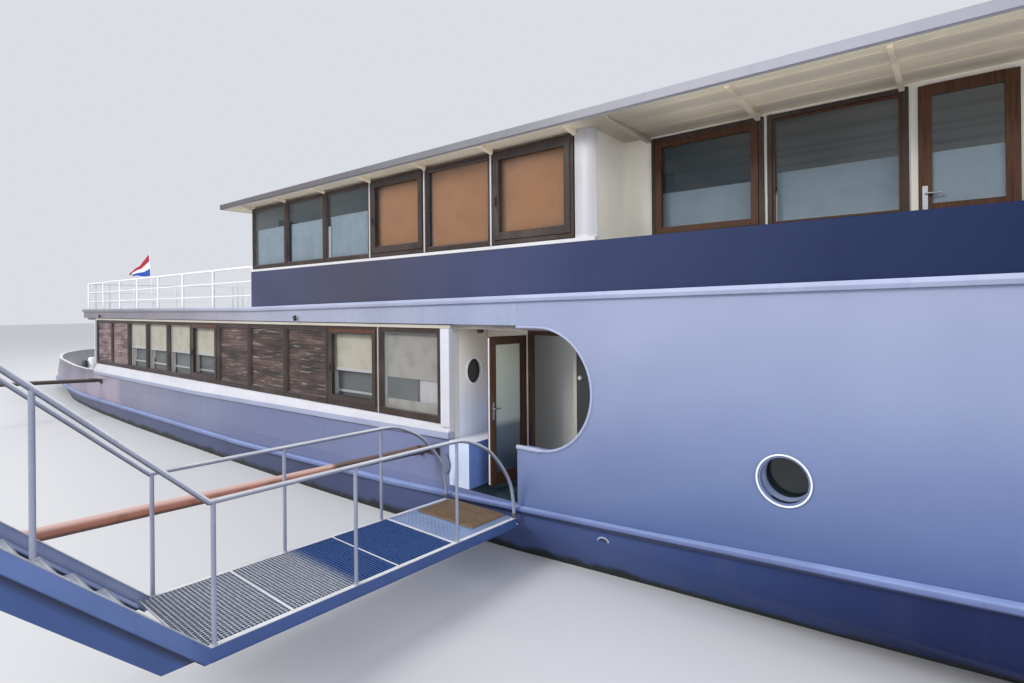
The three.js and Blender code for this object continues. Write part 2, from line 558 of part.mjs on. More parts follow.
// Gangway: platform on two side beams with a stair going up from its outer end
const gangZ = (y) => lerp(GANGWAY.z0, GANGWAY.z1, (GANGWAY.y0 - y) / GANGWAY.out);
const gangEnd = GANGWAY.y0 - GANGWAY.out;
// rail's bend at the boat; columns: y, z
const BEND = [[-3885, 1740], [-3711, 1724], [-3531, 1664], [-3306, 1549], [-3151, 1415], [-2990, 1227],
  [-2876, 1035],
  [-2827, 839], [-2810, 615.5]];

// side of the gangway in one plate: beam of the platform with the stair's stringer
function gangwaySide(x0, x1) {
  const g = GANGWAY;
  const [headY, headZ] = [gangEnd - STAIR.out, g.z1 + STAIR.rise];
  const mitre = (STAIR.depth - g.depth) / (STAIR.rise / STAIR.out);
  return panelYZ([[g.y0, g.z0], [gangEnd, g.z1], [headY, headZ], [headY, headZ - STAIR.depth],
    [gangEnd - mitre, g.z1 - g.depth], [g.y0, g.z0 - g.depth]], [], x0, x1);
}

// second stringer under the first, cut level at its foot
function lowStringer(x0, x1) {
  const g = GANGWAY;
  const [headY, headZ] = [gangEnd - STAIR.out, g.z1 + STAIR.rise];
  return panelYZ([[gangEnd - 98, g.z1 - 20], [gangEnd - 98, g.z1 - 68], [gangEnd - 321, g.z1 - 60],
    [headY, headZ - STAIR.low], [headY, headZ - STAIR.depth + 42]], [], x0, x1);
}

function gangwayFrame() {
  const g = GANGWAY;
  const slope = STAIR.rise / STAIR.out;
  const sides = [[g.x0, g.x0 + 50, g.x0 + 30, g.x0 + 80], [g.x1 - 50, g.x1, g.x1 - 80, g.x1 - 30]]
    .flatMap(([a, b, c, d]) => [gangwaySide(a, b), lowStringer(c, d)]);
  const treads = Array.from({ length: STAIR.treads }, (_, i) => {
    const out = STAIR.first + i * STAIR.pitch;
    const z = g.z1 + out * slope - STAIR.drop;
    return box(g.x0 + 20, g.x1 - 20, gangEnd - out - 230, gangEnd - out, z - 35, z);
  });
  const deck = panelYZ([[g.y0, g.z0 - 2], [gangEnd, g.z1 - 2], [gangEnd, g.z1 - 36], [g.y0, g.z0 - 36]], [],
    g.x0 + 20, g.x1 - 20);
  return join([...sides, deck, ...treads, box(g.x0, g.x1, g.y0 - 40, g.y0, g.z0 - g.depth, g.z0 - 10)]);
}
add('gangway', gangwayFrame(), '#9aa0a3');

// rail on one side: up the stair, along the platform and down in a curve at the boat
function gangwayRail(x, posts) {
  const g = GANGWAY;
  const path = [V(x, gangEnd - STAIR.out, g.z1 + STAIR.rise + 1030), V(x, gangEnd, g.z1 + g.rail),
    ...BEND.map(([y, z]) => V(x, y, z))];
  const rails = path.slice(1).map((p, i) => rod(path[i], p, 21, 8));
  const top = gangEnd - 1005;
  const railZ = (y) => table([[gangEnd, g.z1 + g.rail], ...BEND], y);
  return join([...rails, ...posts.map((y) => rod(V(x, y, gangZ(y) + 1.2), V(x, y, railZ(y)), 18)),
    rod(V(x, top, g.z1 + 998), V(x, top, g.z1 + 978 + 1030), 18)]);
}
// columns: the posts' distances out from the boat's side on that rail
add('gangway_rail_fore', gangwayRail(GANGWAY.x1 - 25, [-3797, -5104, -6350]), '#aab0b3');
add('gangway_rail_aft', gangwayRail(GANGWAY.x0 + 25, [-3905, -5142, -6362]), '#aab0b3');
const hingeLug = (x) => box(x, x + 30, -2778, -2702, GANGWAY.hinge - 30, GANGWAY.hinge + 30);
add('gangway_hinge', join([rod(V(GANGWAY.x0, -2772, GANGWAY.hinge), V(GANGWAY.x1, -2772, GANGWAY.hinge), 12),
  hingeLug(GANGWAY.x0 + 100), hingeLug(GANGWAY.x1 - 130)]), '#7d8285');

// Mooring booms
function boom([x, z, slope]) {
  const end = V(x, BOOM.y - BOOM.out, z + BOOM.out * slope);
  return join([rod(V(x, BOOM.y, z), end, BOOM.r, 12), rod(V(x - 70, BOOM.y - 10, z), V(x + 70, BOOM.y - 10,
    z), 22, 10)]);
}
const boomBracket = ([x, z]) => join([box(x - 130, x + 130, -2722, -2707, z - 110, z + 22),
  ...[x - 110, x + 85].map((ear) => box(ear, ear + 25, -2830, -2704, z - 45, z + 22))]);
// columns: station, height at the boat, rise for each unit outboard
const BOOMS = { fore: [3800, 1237, 0.0334], aft: [-10850, 1090, 0.047] };
add('boom_fore', boom(BOOMS.fore), '#a0604a');
add('boom_aft', boom(BOOMS.aft), '#5b3a30');
add('boom_bracket_fore', boomBracket(BOOMS.fore), '#3d2f2c');
add('boom_bracket_aft', boomBracket(BOOMS.aft), '#3d2f2c');

// Deck gear
const bollardPair = (x, y, z) => join([box(x - 300, x + 300, y - 110, y + 110, z, z + 20),
  ...[-170, 170].flatMap((d) => [rod(V(x + d, y, z + 5), V(x + d, y, z + 300), 70, 14), rod(V(x + d, y,
    z + 280), V(x + d, y, z + 310), 88, 14)])]);
addPair('bollards_aft', bollardPair(-14300, -1500, HULL.deck + GAP), '#3b4558');
add('bollards_fore', bollardPair(14100, 0, HULL.foredeck + GAP), '#3b4558');
add('windlass', join([box(14900, 15500, -380, 380, HULL.foredeck + GAP, HULL.foredeck + 60),
  box(15000, 15400, -330, -290, HULL.foredeck + 50, HULL.foredeck + 480), box(15000, 15400, 290, 330,
    HULL.foredeck + 50, HULL.foredeck + 480),
  rod(V(15200, -420, HULL.foredeck + 360), V(15200, 420, HULL.foredeck + 360), 110, 16)]), '#3b4558');

export default model;
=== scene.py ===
"""Houseboat: finishes, window bays, blinds, rails, grating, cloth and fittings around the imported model."""
import logging
import random
from dataclasses import dataclass, field
from enum import Enum
from math import cos, pi, radians, sin
from typing import Optional, Sequence, Union

import bmesh
import bpy
from mathutils import Matrix, Vector
from mathutils.bvhtree import BVHTree


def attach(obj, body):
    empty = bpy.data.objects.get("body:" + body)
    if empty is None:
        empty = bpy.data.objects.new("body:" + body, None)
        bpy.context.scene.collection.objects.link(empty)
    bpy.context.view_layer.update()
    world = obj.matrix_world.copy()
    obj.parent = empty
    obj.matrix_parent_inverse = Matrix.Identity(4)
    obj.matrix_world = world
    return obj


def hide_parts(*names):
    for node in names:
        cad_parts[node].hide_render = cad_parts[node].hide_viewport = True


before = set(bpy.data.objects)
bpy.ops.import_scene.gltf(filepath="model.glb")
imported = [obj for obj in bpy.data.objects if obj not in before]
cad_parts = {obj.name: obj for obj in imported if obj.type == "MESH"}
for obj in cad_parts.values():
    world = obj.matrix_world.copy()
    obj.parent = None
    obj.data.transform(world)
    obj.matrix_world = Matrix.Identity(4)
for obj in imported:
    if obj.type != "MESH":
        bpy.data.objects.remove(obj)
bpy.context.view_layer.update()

Pair = tuple[float, float]
Triple = tuple[float, float, float]
RGB = Triple
Point = Union[Vector, Triple]
WHITE: RGB = (1.0, 1.0, 1.0)
EVEN: Triple = (1.0, 1.0, 1.0)  # Stretch of noise that is alike along every axis
BUMP = 0.6  # Strength of every finish's relief
MERGE = 1e-6  # Distance within which a piece's points are joined
CAD_MERGE = 2e-5  # The same for a copied CAD node
CAD_FLAT = radians(0.6)  # Angle under which a copied node's faces are joined
BEVEL_ANGLE = radians(40)  # Angle from which an edge is rounded
log = logging.getLogger("houseboat")


class Body(Enum):
    """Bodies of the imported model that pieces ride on."""

    BOAT = "boat"
    ENTRANCE = "entrance_door"
    GALLERY_STARBOARD = "gallery_door_starboard"
    GALLERY_PORT = "gallery_door_port"
    TERRACE_DOOR = "terrace_door"
    AFT_DOOR = "aft_door"
    GANGWAY = "gangway"
    BOOM_FORE = "boom_fore"
    BOOM_AFT = "boom_aft"


class Side(Enum):
    """The boat's two sides, with the sign of Y."""

    STARBOARD = -1
    PORT = 1

    @property
    def label(self) -> str:
        """Name of the side in lower case."""
        return self.name.lower()

    def turn(self, draft: "Draft") -> "Draft":
        """The draft itself to starboard, its mirror image to port."""
        return draft if self is Side.STARBOARD else draft.mirror()


class Hang(Enum):
    """What hangs behind a window's glass."""

    SLATS = "slats"
    ROSE = "rose slats"
    ROLLER = "roller"
    VENETIAN = "venetian"
    # Pale blue sheet: painted reflection of the sky in the glass
    SHEER = "sheer"
    # Tan sheet: painted reflection of brick houses in the glass
    TAN = "tan"


class Value:
    """A shader socket on which Python's operators add Math nodes."""

    def __init__(self, recipe: "Recipe", socket: bpy.types.NodeSocket) -> None:
        """Wrap a socket.

        Args:
            recipe: The recipe whose node tree holds the socket.
            socket: The output socket to wrap.
        """
        self.recipe = recipe
        self.socket = socket

    def math(self, operation: str, left: "Number", right: "Number" = 0.0) -> "Value":
        """Add a Math node.

        Args:
            operation: The node's operation.
            left: First value or number.
            right: Second value or number.

        Returns:
            The node's result.
        """
        node = self.recipe.node("ShaderNodeMath", {"operation": operation}, {0: left, 1: right})
        return Value(self.recipe, node.outputs[0])

    def __add__(self, other: "Number") -> "Value":
        """Sum."""
        return self.math("ADD", self, other)

    def __radd__(self, other: "Number") -> "Value":
        """Sum with a number on the left."""
        return self.math("ADD", other, self)

    def __sub__(self, other: "Number") -> "Value":
        """Difference."""
        return self.math("SUBTRACT", self, other)

    def __rsub__(self, other: "Number") -> "Value":
        """Difference from a number on the left."""
        return self.math("SUBTRACT", other, self)

    def __mul__(self, other: "Number") -> "Value":
        """Product."""
        return self.math("MULTIPLY", self, other)

    def __rmul__(self, other: "Number") -> "Value":
        """Product with a number on the left."""
        return self.math("MULTIPLY", other, self)

    def __truediv__(self, other: "Number") -> "Value":
        """Quotient."""
        return self.math("DIVIDE", self, other)

    def __pow__(self, other: "Number") -> "Value":
        """Power."""
        return self.math("POWER", self, other)

    def at_least(self, low: "Number") -> "Value":
        """The greater of the value and `low`."""
        return self.math("MAXIMUM", self, low)

    def at_most(self, high: "Number") -> "Value":
        """The lesser of the value and `high`."""
        return self.math("MINIMUM", self, high)

    def wave(self) -> "Value":
        """Sine of the value."""
        return self.math("SINE", self)

    def size(self) -> "Value":
        """The value without its sign."""
        return self.math("ABSOLUTE", self)

    def rise(self, low: float, high: float) -> "Value":
        """Smooth step, which falls where `high` is below `low`.

        Args:
            low: Where the step is 0.
            high: Where it is 1.

        Returns:
            The step.
        """
        flip = high < low
        settings = {"interpolation_type": "SMOOTHSTEP"}
        ends = {1: min(low, high), 2: max(low, high), 3: 1.0 if flip else 0.0, 4: 0.0 if flip else 1.0}
        node = self.recipe.node("ShaderNodeMapRange", settings, {0: self, **ends})
        return Value(self.recipe, node.outputs[0])


Number = Union[Value, float, int]


class Recipe:
    """The node tree of one finish."""

    def __init__(self, name: str) -> None:
        """Start a material with a Principled shader.

        Args:
            name: The material's name.
        """
        self.material = bpy.data.materials.new(name)
        self.material.use_nodes = True
        self.tree = self.material.node_tree
        self.tree.nodes.clear()
        self.output = self.tree.nodes.new("ShaderNodeOutputMaterial")
        self.shader = self.tree.nodes.new("ShaderNodeBsdfPrincipled")
        self.tree.links.new(self.shader.outputs[0], self.output.inputs[0])

    def node(self, kind: str, settings: dict, inputs: dict) -> bpy.types.Node:
        """Add a node.

        Args:
            kind: The node's type.
            settings: Its properties, set first; "stops" gives a ramp's positions and colours.
            inputs: Values, colours or links by socket name or number.

        Returns:
            The node.
        """
        node = self.tree.nodes.new(kind)
        for key, value in settings.items():
            if key == "stops":
                self._set_stops(node, value)
            else:
                setattr(node, key, value)
        self.feed(node, inputs)
        return node

    def feed(self, node: bpy.types.Node, inputs: dict) -> None:
        """Set a node's sockets.

        Args:
            node: The node.
            inputs: Values, colours or links by socket name or number.
        """
        for key, value in inputs.items():
            socket = node.inputs[key]
            if isinstance(value, Value):
                self.tree.links.new(value.socket, socket)
            elif isinstance(value, (tuple, list, Vector)) and socket.type == "RGBA":
                socket.default_value = (*value, 1.0)
            else:
                socket.default_value = value

    def _set_stops(self, node: bpy.types.Node, stops: Sequence[tuple[float, RGB]]) -> None:
        """Give a colour ramp its stops.

        Args:
            node: The ramp.
            stops: Positions with the colour at each, in rising order.
        """
        elements = node.color_ramp.elements
        while len(elements) < len(stops):
            elements.new(0.5)
        for element, (place, colour) in zip(elements, stops):
            element.position = place
            element.color = (*colour, 1.0)

    def where(self, stretch: Triple = EVEN) -> Value:
        """The point on the boat in metres.

        Args:
            stretch: What each axis is multiplied by.

        Returns:
            The point.
        """
        place = self.node("ShaderNodeTexCoord", {}, {})
        node = self.node("ShaderNodeVectorMath", {"operation": "MULTIPLY"},
                         {0: Value(self, place.outputs["Object"]), 1: Vector(stretch)})
        return Value(self, node.outputs[0])

    def axes(self) -> tuple[Value, Value, Value]:
        """X, Y and Z of the point on the boat."""
        node = self.node("ShaderNodeSeparateXYZ", {}, {0: self.where()})
        return tuple(Value(self, node.outputs[i]) for i in range(3))

    def facing(self) -> tuple[Value, Value, Value]:
        """X, Y and Z of the surface's direction.

        Returns:
            The three parts.
        """
        geometry = self.node("ShaderNodeNewGeometry", {}, {})
        node = self.node("ShaderNodeSeparateXYZ", {}, {0: Value(self, geometry.outputs["Normal"])})
        return tuple(Value(self, node.outputs[i]) for i in range(3))

    def noise(self, scale: float, detail: float = 3.0, stretch: Triple = EVEN, rough: float = 0.55) -> Value:
        """Cloudy noise between about 0.3 and 0.7.

        Args:
            scale: Clouds for each metre.
            detail: Finer layers.
            stretch: What each axis is multiplied by.
            rough: Strength of the finer layers.

        Returns:
            The noise.
        """
        node = self.node("ShaderNodeTexNoise", {"noise_dimensions": "3D"},
                         {"Vector": self.where(stretch), "Scale": scale, "Detail": detail, "Roughness": rough})
        return Value(self, node.outputs[0])

    def cells(self, scale: float, stretch: Triple = EVEN) -> Value:
        """Distance to the nearest of many scattered points.

        Args:
            scale: Points for each metre.
            stretch: What each axis is multiplied by.

        Returns:
            The distance.
        """
        node = self.node("ShaderNodeTexVoronoi", {"feature": "F1"},
                         {"Vector": self.where(stretch), "Scale": scale})
        return Value(self, node.outputs["Distance"])

    def blend(self, first: Union[RGB, Value], second: Union[RGB, Value], share: Number) -> Value:
        """Mix two colours.

        Args:
            first: Colour at share 0.
            second: Colour at share 1.
            share: How much of the second.

        Returns:
            The mixed colour.
        """
        node = self.node("ShaderNodeMix", {"data_type": "RGBA"}, {0: share, 6: first, 7: second})
        return Value(self, node.outputs[2])

    def tint(self, first: Value, second: Value) -> Value:
        """Two colours multiplied.

        Args:
            first: One colour.
            second: The other.

        Returns:
            Their product.
        """
        settings = {"data_type": "RGBA", "blend_type": "MULTIPLY"}
        node = self.node("ShaderNodeMix", settings, {0: 1.0, 6: first, 7: second})
        return Value(self, node.outputs[2])

    def ramp(self, share: Value, stops: Sequence[tuple[float, RGB]]) -> Value:
        """Colours along a value."""
        node = self.node("ShaderNodeValToRGB", {"stops": stops}, {0: share})
        return Value(self, node.outputs[0])

    def finish(self, colour: Union[RGB, Value], rough: Number, relief: Optional[Value] = None,
               depth: float = 0.001, metal: float = 0.0, glow: float = 0.0, **constants: float) -> None:
        """Feed the shader.

        Args:
            colour: Base colour.
            rough: Roughness.
            relief: Height that drives the bump.
            depth: Bump distance in metres.
            metal: Metallic share.
            glow: Share of its colour that it gives off.
            constants: Other sockets of the shader by name, with _ for a space.
        """
        sockets = {"Base Color": colour, "Roughness": rough, "Metallic": metal}
        if glow:
            sockets |= {"Emission Color": colour, "Emission Strength": glow}
        sockets |= {key.replace("_", " "): value for key, value in constants.items()}
        if relief is not None:
            bump = self.node("ShaderNodeBump", {}, {"Strength": BUMP, "Distance": depth, "Height": relief})
            sockets["Normal"] = Value(self, bump.outputs[0])
        self.feed(self.shader, sockets)


def scaled(colour: RGB, share: float) -> RGB:
    """A colour made darker or lighter."""
    return tuple(c * share for c in colour)


@dataclass(frozen=True)
class Finish:
    """A finish of the boat's pieces."""

    name: str  # The material's name

    def lay(self, r: Recipe) -> None:
        """Lay the finish's nodes."""
        raise NotImplementedError


@dataclass(frozen=True)
class Paint(Finish):
    """Satin boat paint with clouds, rain streaks and a little dirt."""

    colour: RGB  # Clean colour
    shade: RGB  # Colour of the darker clouds and streaks
    rough: float = 0.42  # Roughness
    streaks: float = 0.35  # Strength of the rain streaks
    coat: float = 0.0  # Clear gloss on top

    def lay(self, r: Recipe) -> None:
        """Lay the finish's nodes.

        Args:
            r: The recipe that takes them.
        """
        clouds = r.noise(0.55, 4.0).rise(0.35, 0.68)
        streak = r.noise(7.0, 3.0, (1.0, 1.0, 0.07)).rise(0.52, 0.75) * self.streaks
        fine = r.noise(90.0, 2.0)
        colour = r.blend(self.colour, self.shade, (clouds * 0.45 + streak).at_most(1.0))
        rough = self.rough + (fine - 0.5) * 0.18 + streak * 0.2
        r.finish(colour, rough, fine * 0.4 + r.noise(3.0, 2.0), 0.0016, Coat_Weight=self.coat)


@dataclass(frozen=True)
class CrownPaint(Finish):
    """Satin paint of round bars, with a painted highlight where it faces up and painted shade where it faces down."""

    colour: RGB  # Colour of the upright parts
    painted_highlight: RGB  # Colour of the painted highlight on what faces up
    foot: RGB  # Colour of the painted shade on what faces down
    rough: float = 0.36  # Roughness
    metal: float = 0.0  # Metallic share
    turn: float = 0.3  # Upward share of the facing from which the painted highlight begins

    def lay(self, r: Recipe) -> None:
        """Lay the finish's nodes.

        Args:
            r: The recipe that takes them.
        """
        _, _, up = r.facing()
        clouds = r.noise(1.7, 4.0).rise(0.35, 0.68)
        fine = r.noise(70.0, 3.0)
        spots = r.noise(16.0, 4.0).rise(0.6, 0.72)
        # Painted highlight on upward faces, painted shade on downward faces
        colour = r.blend(self.colour, self.painted_highlight, up.rise(self.turn, self.turn + 0.58))
        colour = r.blend(colour, self.foot, up.rise(-0.15, -0.75))
        dirt = (clouds * 0.6 + spots * 0.5).at_most(1.0)
        colour = r.tint(colour, r.blend(WHITE, (0.74, 0.75, 0.78), dirt))
        rough = self.rough + (fine - 0.5) * 0.2 + spots * 0.1
        r.finish(colour, rough, fine * 0.5 + clouds, 0.001, self.metal)


@dataclass(frozen=True)
class BeamPaint(Finish):
    """Blue paint of the gangway's beams, brighter up the stair, with painted shade under its upper stringers and
    painted light on the inner face of the aft stringer.
    """

    deck: RGB = (0.05, 0.095, 0.26)  # Colour along the platform
    stair: RGB = (0.116, 0.182, 0.4)  # Colour along the stair
    shade: RGB = (0.016, 0.022, 0.05)  # Colour of the painted shade right under the upper stringers
    lit: RGB = (0.31, 0.365, 0.56)  # Colour of the painted light on the inner face of the aft stringer
    end: float = -6.38  # Y of the stair's foot
    level: float = 0.56  # Height of the upper stringers' foot there
    slope: float = 0.9733  # Rise of the stair for each metre out

    def lay(self, r: Recipe) -> None:
        """Lay the finish's nodes.

        Args:
            r: The recipe that takes them.
        """
        x, y, z = r.axes()
        ahead, _, _ = r.facing()
        drop = (y * -1.0 + self.end) * self.slope + self.level - z
        clouds = r.noise(1.1, 4.0).rise(0.35, 0.68)
        streak = r.noise(5.0, 3.0, (1.0, 1.0, 0.2)).rise(0.52, 0.75)
        fine = r.noise(80.0, 2.0)
        colour = r.blend(self.deck, self.stair, y.rise(-6.3, -6.7) * drop.rise(0.01, -0.01))
        colour = r.blend(colour, scaled(self.deck, 0.7), clouds * 0.35 + streak * 0.2)
        # Painted shade under the upper stringers
        under = drop.rise(0.1, 0.0) * drop.rise(-0.012, -0.004)
        colour = r.blend(colour, self.shade, under * 0.9)
        # Painted light on the inner face of the aft stringer
        inside = x.rise(7.3, 7.1) * ahead.rise(0.4, 0.7) * y.rise(-6.3, -6.45)
        colour = r.blend(colour, self.lit, inside * drop.rise(0.0, -0.02) * 0.85)
        r.finish(colour, 0.42 + (fine - 0.5) * 0.2, fine * 0.4 + clouds, 0.0016, Specular_IOR_Level=0.35)


@dataclass(frozen=True)
class GratePaint(Finish):
    """Galvanised grating with painted light: painted highlights on the top edges, painted shade on the sides, and
    painted blue skylight near the boat.
    """

    outer: RGB = (0.88, 0.93, 0.98)  # Colour of the painted highlight on the top edges at the outer end
    inner: RGB = (0.1, 0.23, 0.62)  # Colour of the top edges near the boat, painted blue skylight
    turn: float = -5.08  # Y where one becomes the other

    def lay(self, r: Recipe) -> None:
        """Lay the finish's nodes.

        Args:
            r: The recipe that takes them.
        """
        _, y, _ = r.axes()
        _, _, up = r.facing()
        spangle = r.cells(34.0)
        near = y.rise(self.turn - 0.1, self.turn + 0.1)
        # Painted highlight on the top edges, painted blue skylight near the boat
        top = r.blend(self.outer, self.inner, near)
        # Painted shade on the sides, deeper and bluer near the boat
        side = r.blend((0.19, 0.205, 0.27), (0.02, 0.055, 0.185), near)
        colour = r.blend(side, top, up.rise(0.4, 0.8))
        colour = r.tint(colour, r.blend(WHITE, (0.68, 0.69, 0.72), (spangle * 1.4).at_most(1.0)))
        r.finish(colour, 0.45 + (spangle - 0.4) * 0.2, r.noise(60.0, 3.0), 0.0006)


@dataclass(frozen=True)
class SternPaint(Finish):
    """White paint inside and on top of the stern bulwark, the side's own paint outside."""

    white: RGB = (0.9, 0.89, 0.88)  # Colour of the inside and the rail
    middle: float = -12.0  # X that all of the bulwark's outer faces turn away from

    def lay(self, r: Recipe) -> None:
        """Lay the finish's nodes.

        Args:
            r: The recipe that takes them.
        """
        x, y, _ = r.axes()
        ahead, aside, up = r.facing()
        outward = (y * aside + (x - self.middle) * ahead).rise(0.05, 0.3) * up.rise(0.6, 0.4)
        clouds = r.noise(0.8, 4.0).rise(0.4, 0.7)
        streak = r.noise(7.0, 3.0, (1.0, 1.0, 0.07)).rise(0.52, 0.75)
        white = r.blend(self.white, (0.66, 0.64, 0.66), clouds * 0.3 + streak * 0.25)
        colour = r.blend(white, topside(r), outward)
        fine = r.noise(90.0, 2.0)
        r.finish(colour, 0.42 + (fine - 0.5) * 0.18, fine * 0.4 + clouds, 0.0016)


@dataclass(frozen=True)
class SoffitPaint(Finish):
    """Cream soffit boards with broad soft bands of painted shade along the boat, and painted shade in the corner by
    the column.
    """

    colour: RGB = (0.95, 0.84, 0.64)  # Colour of the light bands
    shade: RGB = (0.52, 0.45, 0.39)  # Colour of the painted shade in the dim bands
    wide: float = 0.62  # Distance from one dim band to the next

    def lay(self, r: Recipe) -> None:
        """Lay the finish's nodes.

        Args:
            r: The recipe that takes them.
        """
        x, y, _ = r.axes()
        drift = (r.noise(0.9, 3.0, (0.35, 1.0, 1.0)) - 0.5) * 0.1
        cycle = ((y.size() + drift) * (2.0 * pi / self.wide)).wave()
        clouds = r.noise(0.8, 4.0).rise(0.38, 0.68)
        stain = r.noise(1.8, 5.0, (0.3, 1.0, 1.0)).rise(0.55, 0.75)
        # Painted shade in broad bands across the soffit
        band = cycle.rise(0.0, 0.9) * x.rise(8.6, 9.4)
        # Painted shade in the corner by the column
        nook = x.rise(8.9, 9.3) * x.rise(10.4, 9.5)
        colour = r.blend(self.colour, self.shade, (band * 0.4 + clouds * 0.2 + stain * 0.35).at_most(1.0))
        colour = r.blend(colour, scaled(self.shade, 0.62), nook * 0.75)
        fine = r.noise(60.0, 2.0)
        r.finish(colour, 0.6 + (fine - 0.5) * 0.15, fine * 0.4 + clouds, 0.0016)


@dataclass(frozen=True)
class RunPaint(Finish):
    """Satin paint whose colour drifts along the boat or up it, with a painted highlight and a painted shadow line
    along the side trim where it has one.
    """

    stops: tuple[tuple[float, RGB], ...]  # Places in metres with the colour at each, in rising order
    axis: int = 0  # Axis of the places, 0 to 2
    shade: float = 0.22  # Share by which clouds and streaks darken it
    rough: float = 0.42  # Roughness
    streaks: float = 0.3  # Strength of the rain streaks
    trim: Optional[RGB] = None  # Colour of the painted highlight along the side trim's top edge, if it has one
    joins: Optional[float] = None  # Station from which it has the colour of the side plating, if it has
    sheen: float = 0.5  # Strength of the shine
    glow: float = 0.0  # Share of its colour that it gives off, painted light on a surface that is no lamp

    def lay(self, r: Recipe) -> None:
        """Lay the finish's nodes.

        Args:
            r: The recipe that takes them.
        """
        first, last = self.stops[0][0], self.stops[-1][0]
        axes = r.axes()
        share = (axes[self.axis] - first) / (last - first)
        base = r.ramp(share, [((x - first) / (last - first), colour) for x, colour in self.stops])
        if self.joins:
            base = r.blend(base, topside(r), axes[0].rise(self.joins - 2.2, self.joins))
        if self.trim:
            over = axes[2] - ((axes[0] - 1.25).at_least(0.0) * 0.015 + 3.16)
            # Painted highlight along the trim's top edge
            base = r.blend(base, self.trim, over.rise(0.034, 0.05) * (axes[0].rise(-6.0, 2.0) * 0.75 + 0.25))
            # Painted shadow line at the trim's foot
            base = r.blend(base, (0.12, 0.13, 0.19), over.size().rise(0.01, 0.003) * 0.35)
        clouds = r.noise(0.7, 4.0).rise(0.35, 0.68)
        streak = r.noise(7.0, 3.0, (1.0, 1.0, 0.07)).rise(0.52, 0.75) * self.streaks
        fine = r.noise(90.0, 2.0)
        dim = r.blend(WHITE, (1.0 - self.shade, 1.0 - self.shade, 1.0 - self.shade * 0.8),
                      (clouds * 0.6 + streak).at_most(1.0))
        colour = r.tint(base, dim)
        r.finish(colour, self.rough + (fine - 0.5) * 0.18, fine * 0.4 + r.noise(3.0, 2.0), 0.0016,
                 glow=self.glow, Specular_IOR_Level=self.sheen)


def topside(r: Recipe) -> Value:
    """Colour of the boat's sides, deeper low down, with clouds and faint rain streaks.

    Args:
        r: The recipe that takes the nodes.

    Returns:
        The colour.
    """
    x, _, z = r.axes()
    height = z + (r.noise(0.5, 2.0, (0.4, 1.0, 1.0)) - 0.5) * 0.3
    height = height + x.rise(11.0, 8.2) * 0.5 - x.rise(11.5, 14.5) * 0.22
    plating = r.ramp(height * 0.25, [(0.16, (0.078, 0.114, 0.262)), (0.27, (0.09, 0.13, 0.285)),
                                     (0.36, (0.137, 0.186, 0.35)), (0.46, (0.18, 0.225, 0.398)),
                                     (0.605, (0.251, 0.302, 0.458)), (0.78, (0.3, 0.34, 0.49))])
    low = r.ramp((x + 9.0) / 16.0, [(0.0, (0.215, 0.195, 0.265)), (0.25, (0.2, 0.193, 0.278)),
                                    (0.44, (0.17, 0.185, 0.285)), (0.69, (0.136, 0.158, 0.285)),
                                    (0.88, (0.16, 0.188, 0.33)), (1.0, (0.16, 0.19, 0.34))])
    plating = r.tint(plating, r.blend((1.04, 1.04, 1.02), (0.84, 0.9, 1.02), x.rise(11.0, 14.0) * z.rise(2.4, 1.2)))
    colour = r.blend(plating, low, x.rise(8.3, 7.7) * z.rise(2.9, 2.6))
    patch = r.noise(0.55, 3.0, (1.0, 1.0, 0.8)).rise(0.4, 0.6) * x.rise(-4.5, -7.0)
    colour = r.blend(colour, (0.4, 0.325, 0.395), patch * 0.6)
    clouds = r.noise(0.35, 4.0).rise(0.3, 0.7)
    streak = r.noise(6.0, 4.0, (1.0, 1.0, 0.05)).rise(0.58, 0.84)
    colour = r.tint(colour, r.blend(WHITE, (0.86, 0.87, 0.9), clouds))
    return r.blend(colour, (0.34, 0.34, 0.42), streak * 0.06)


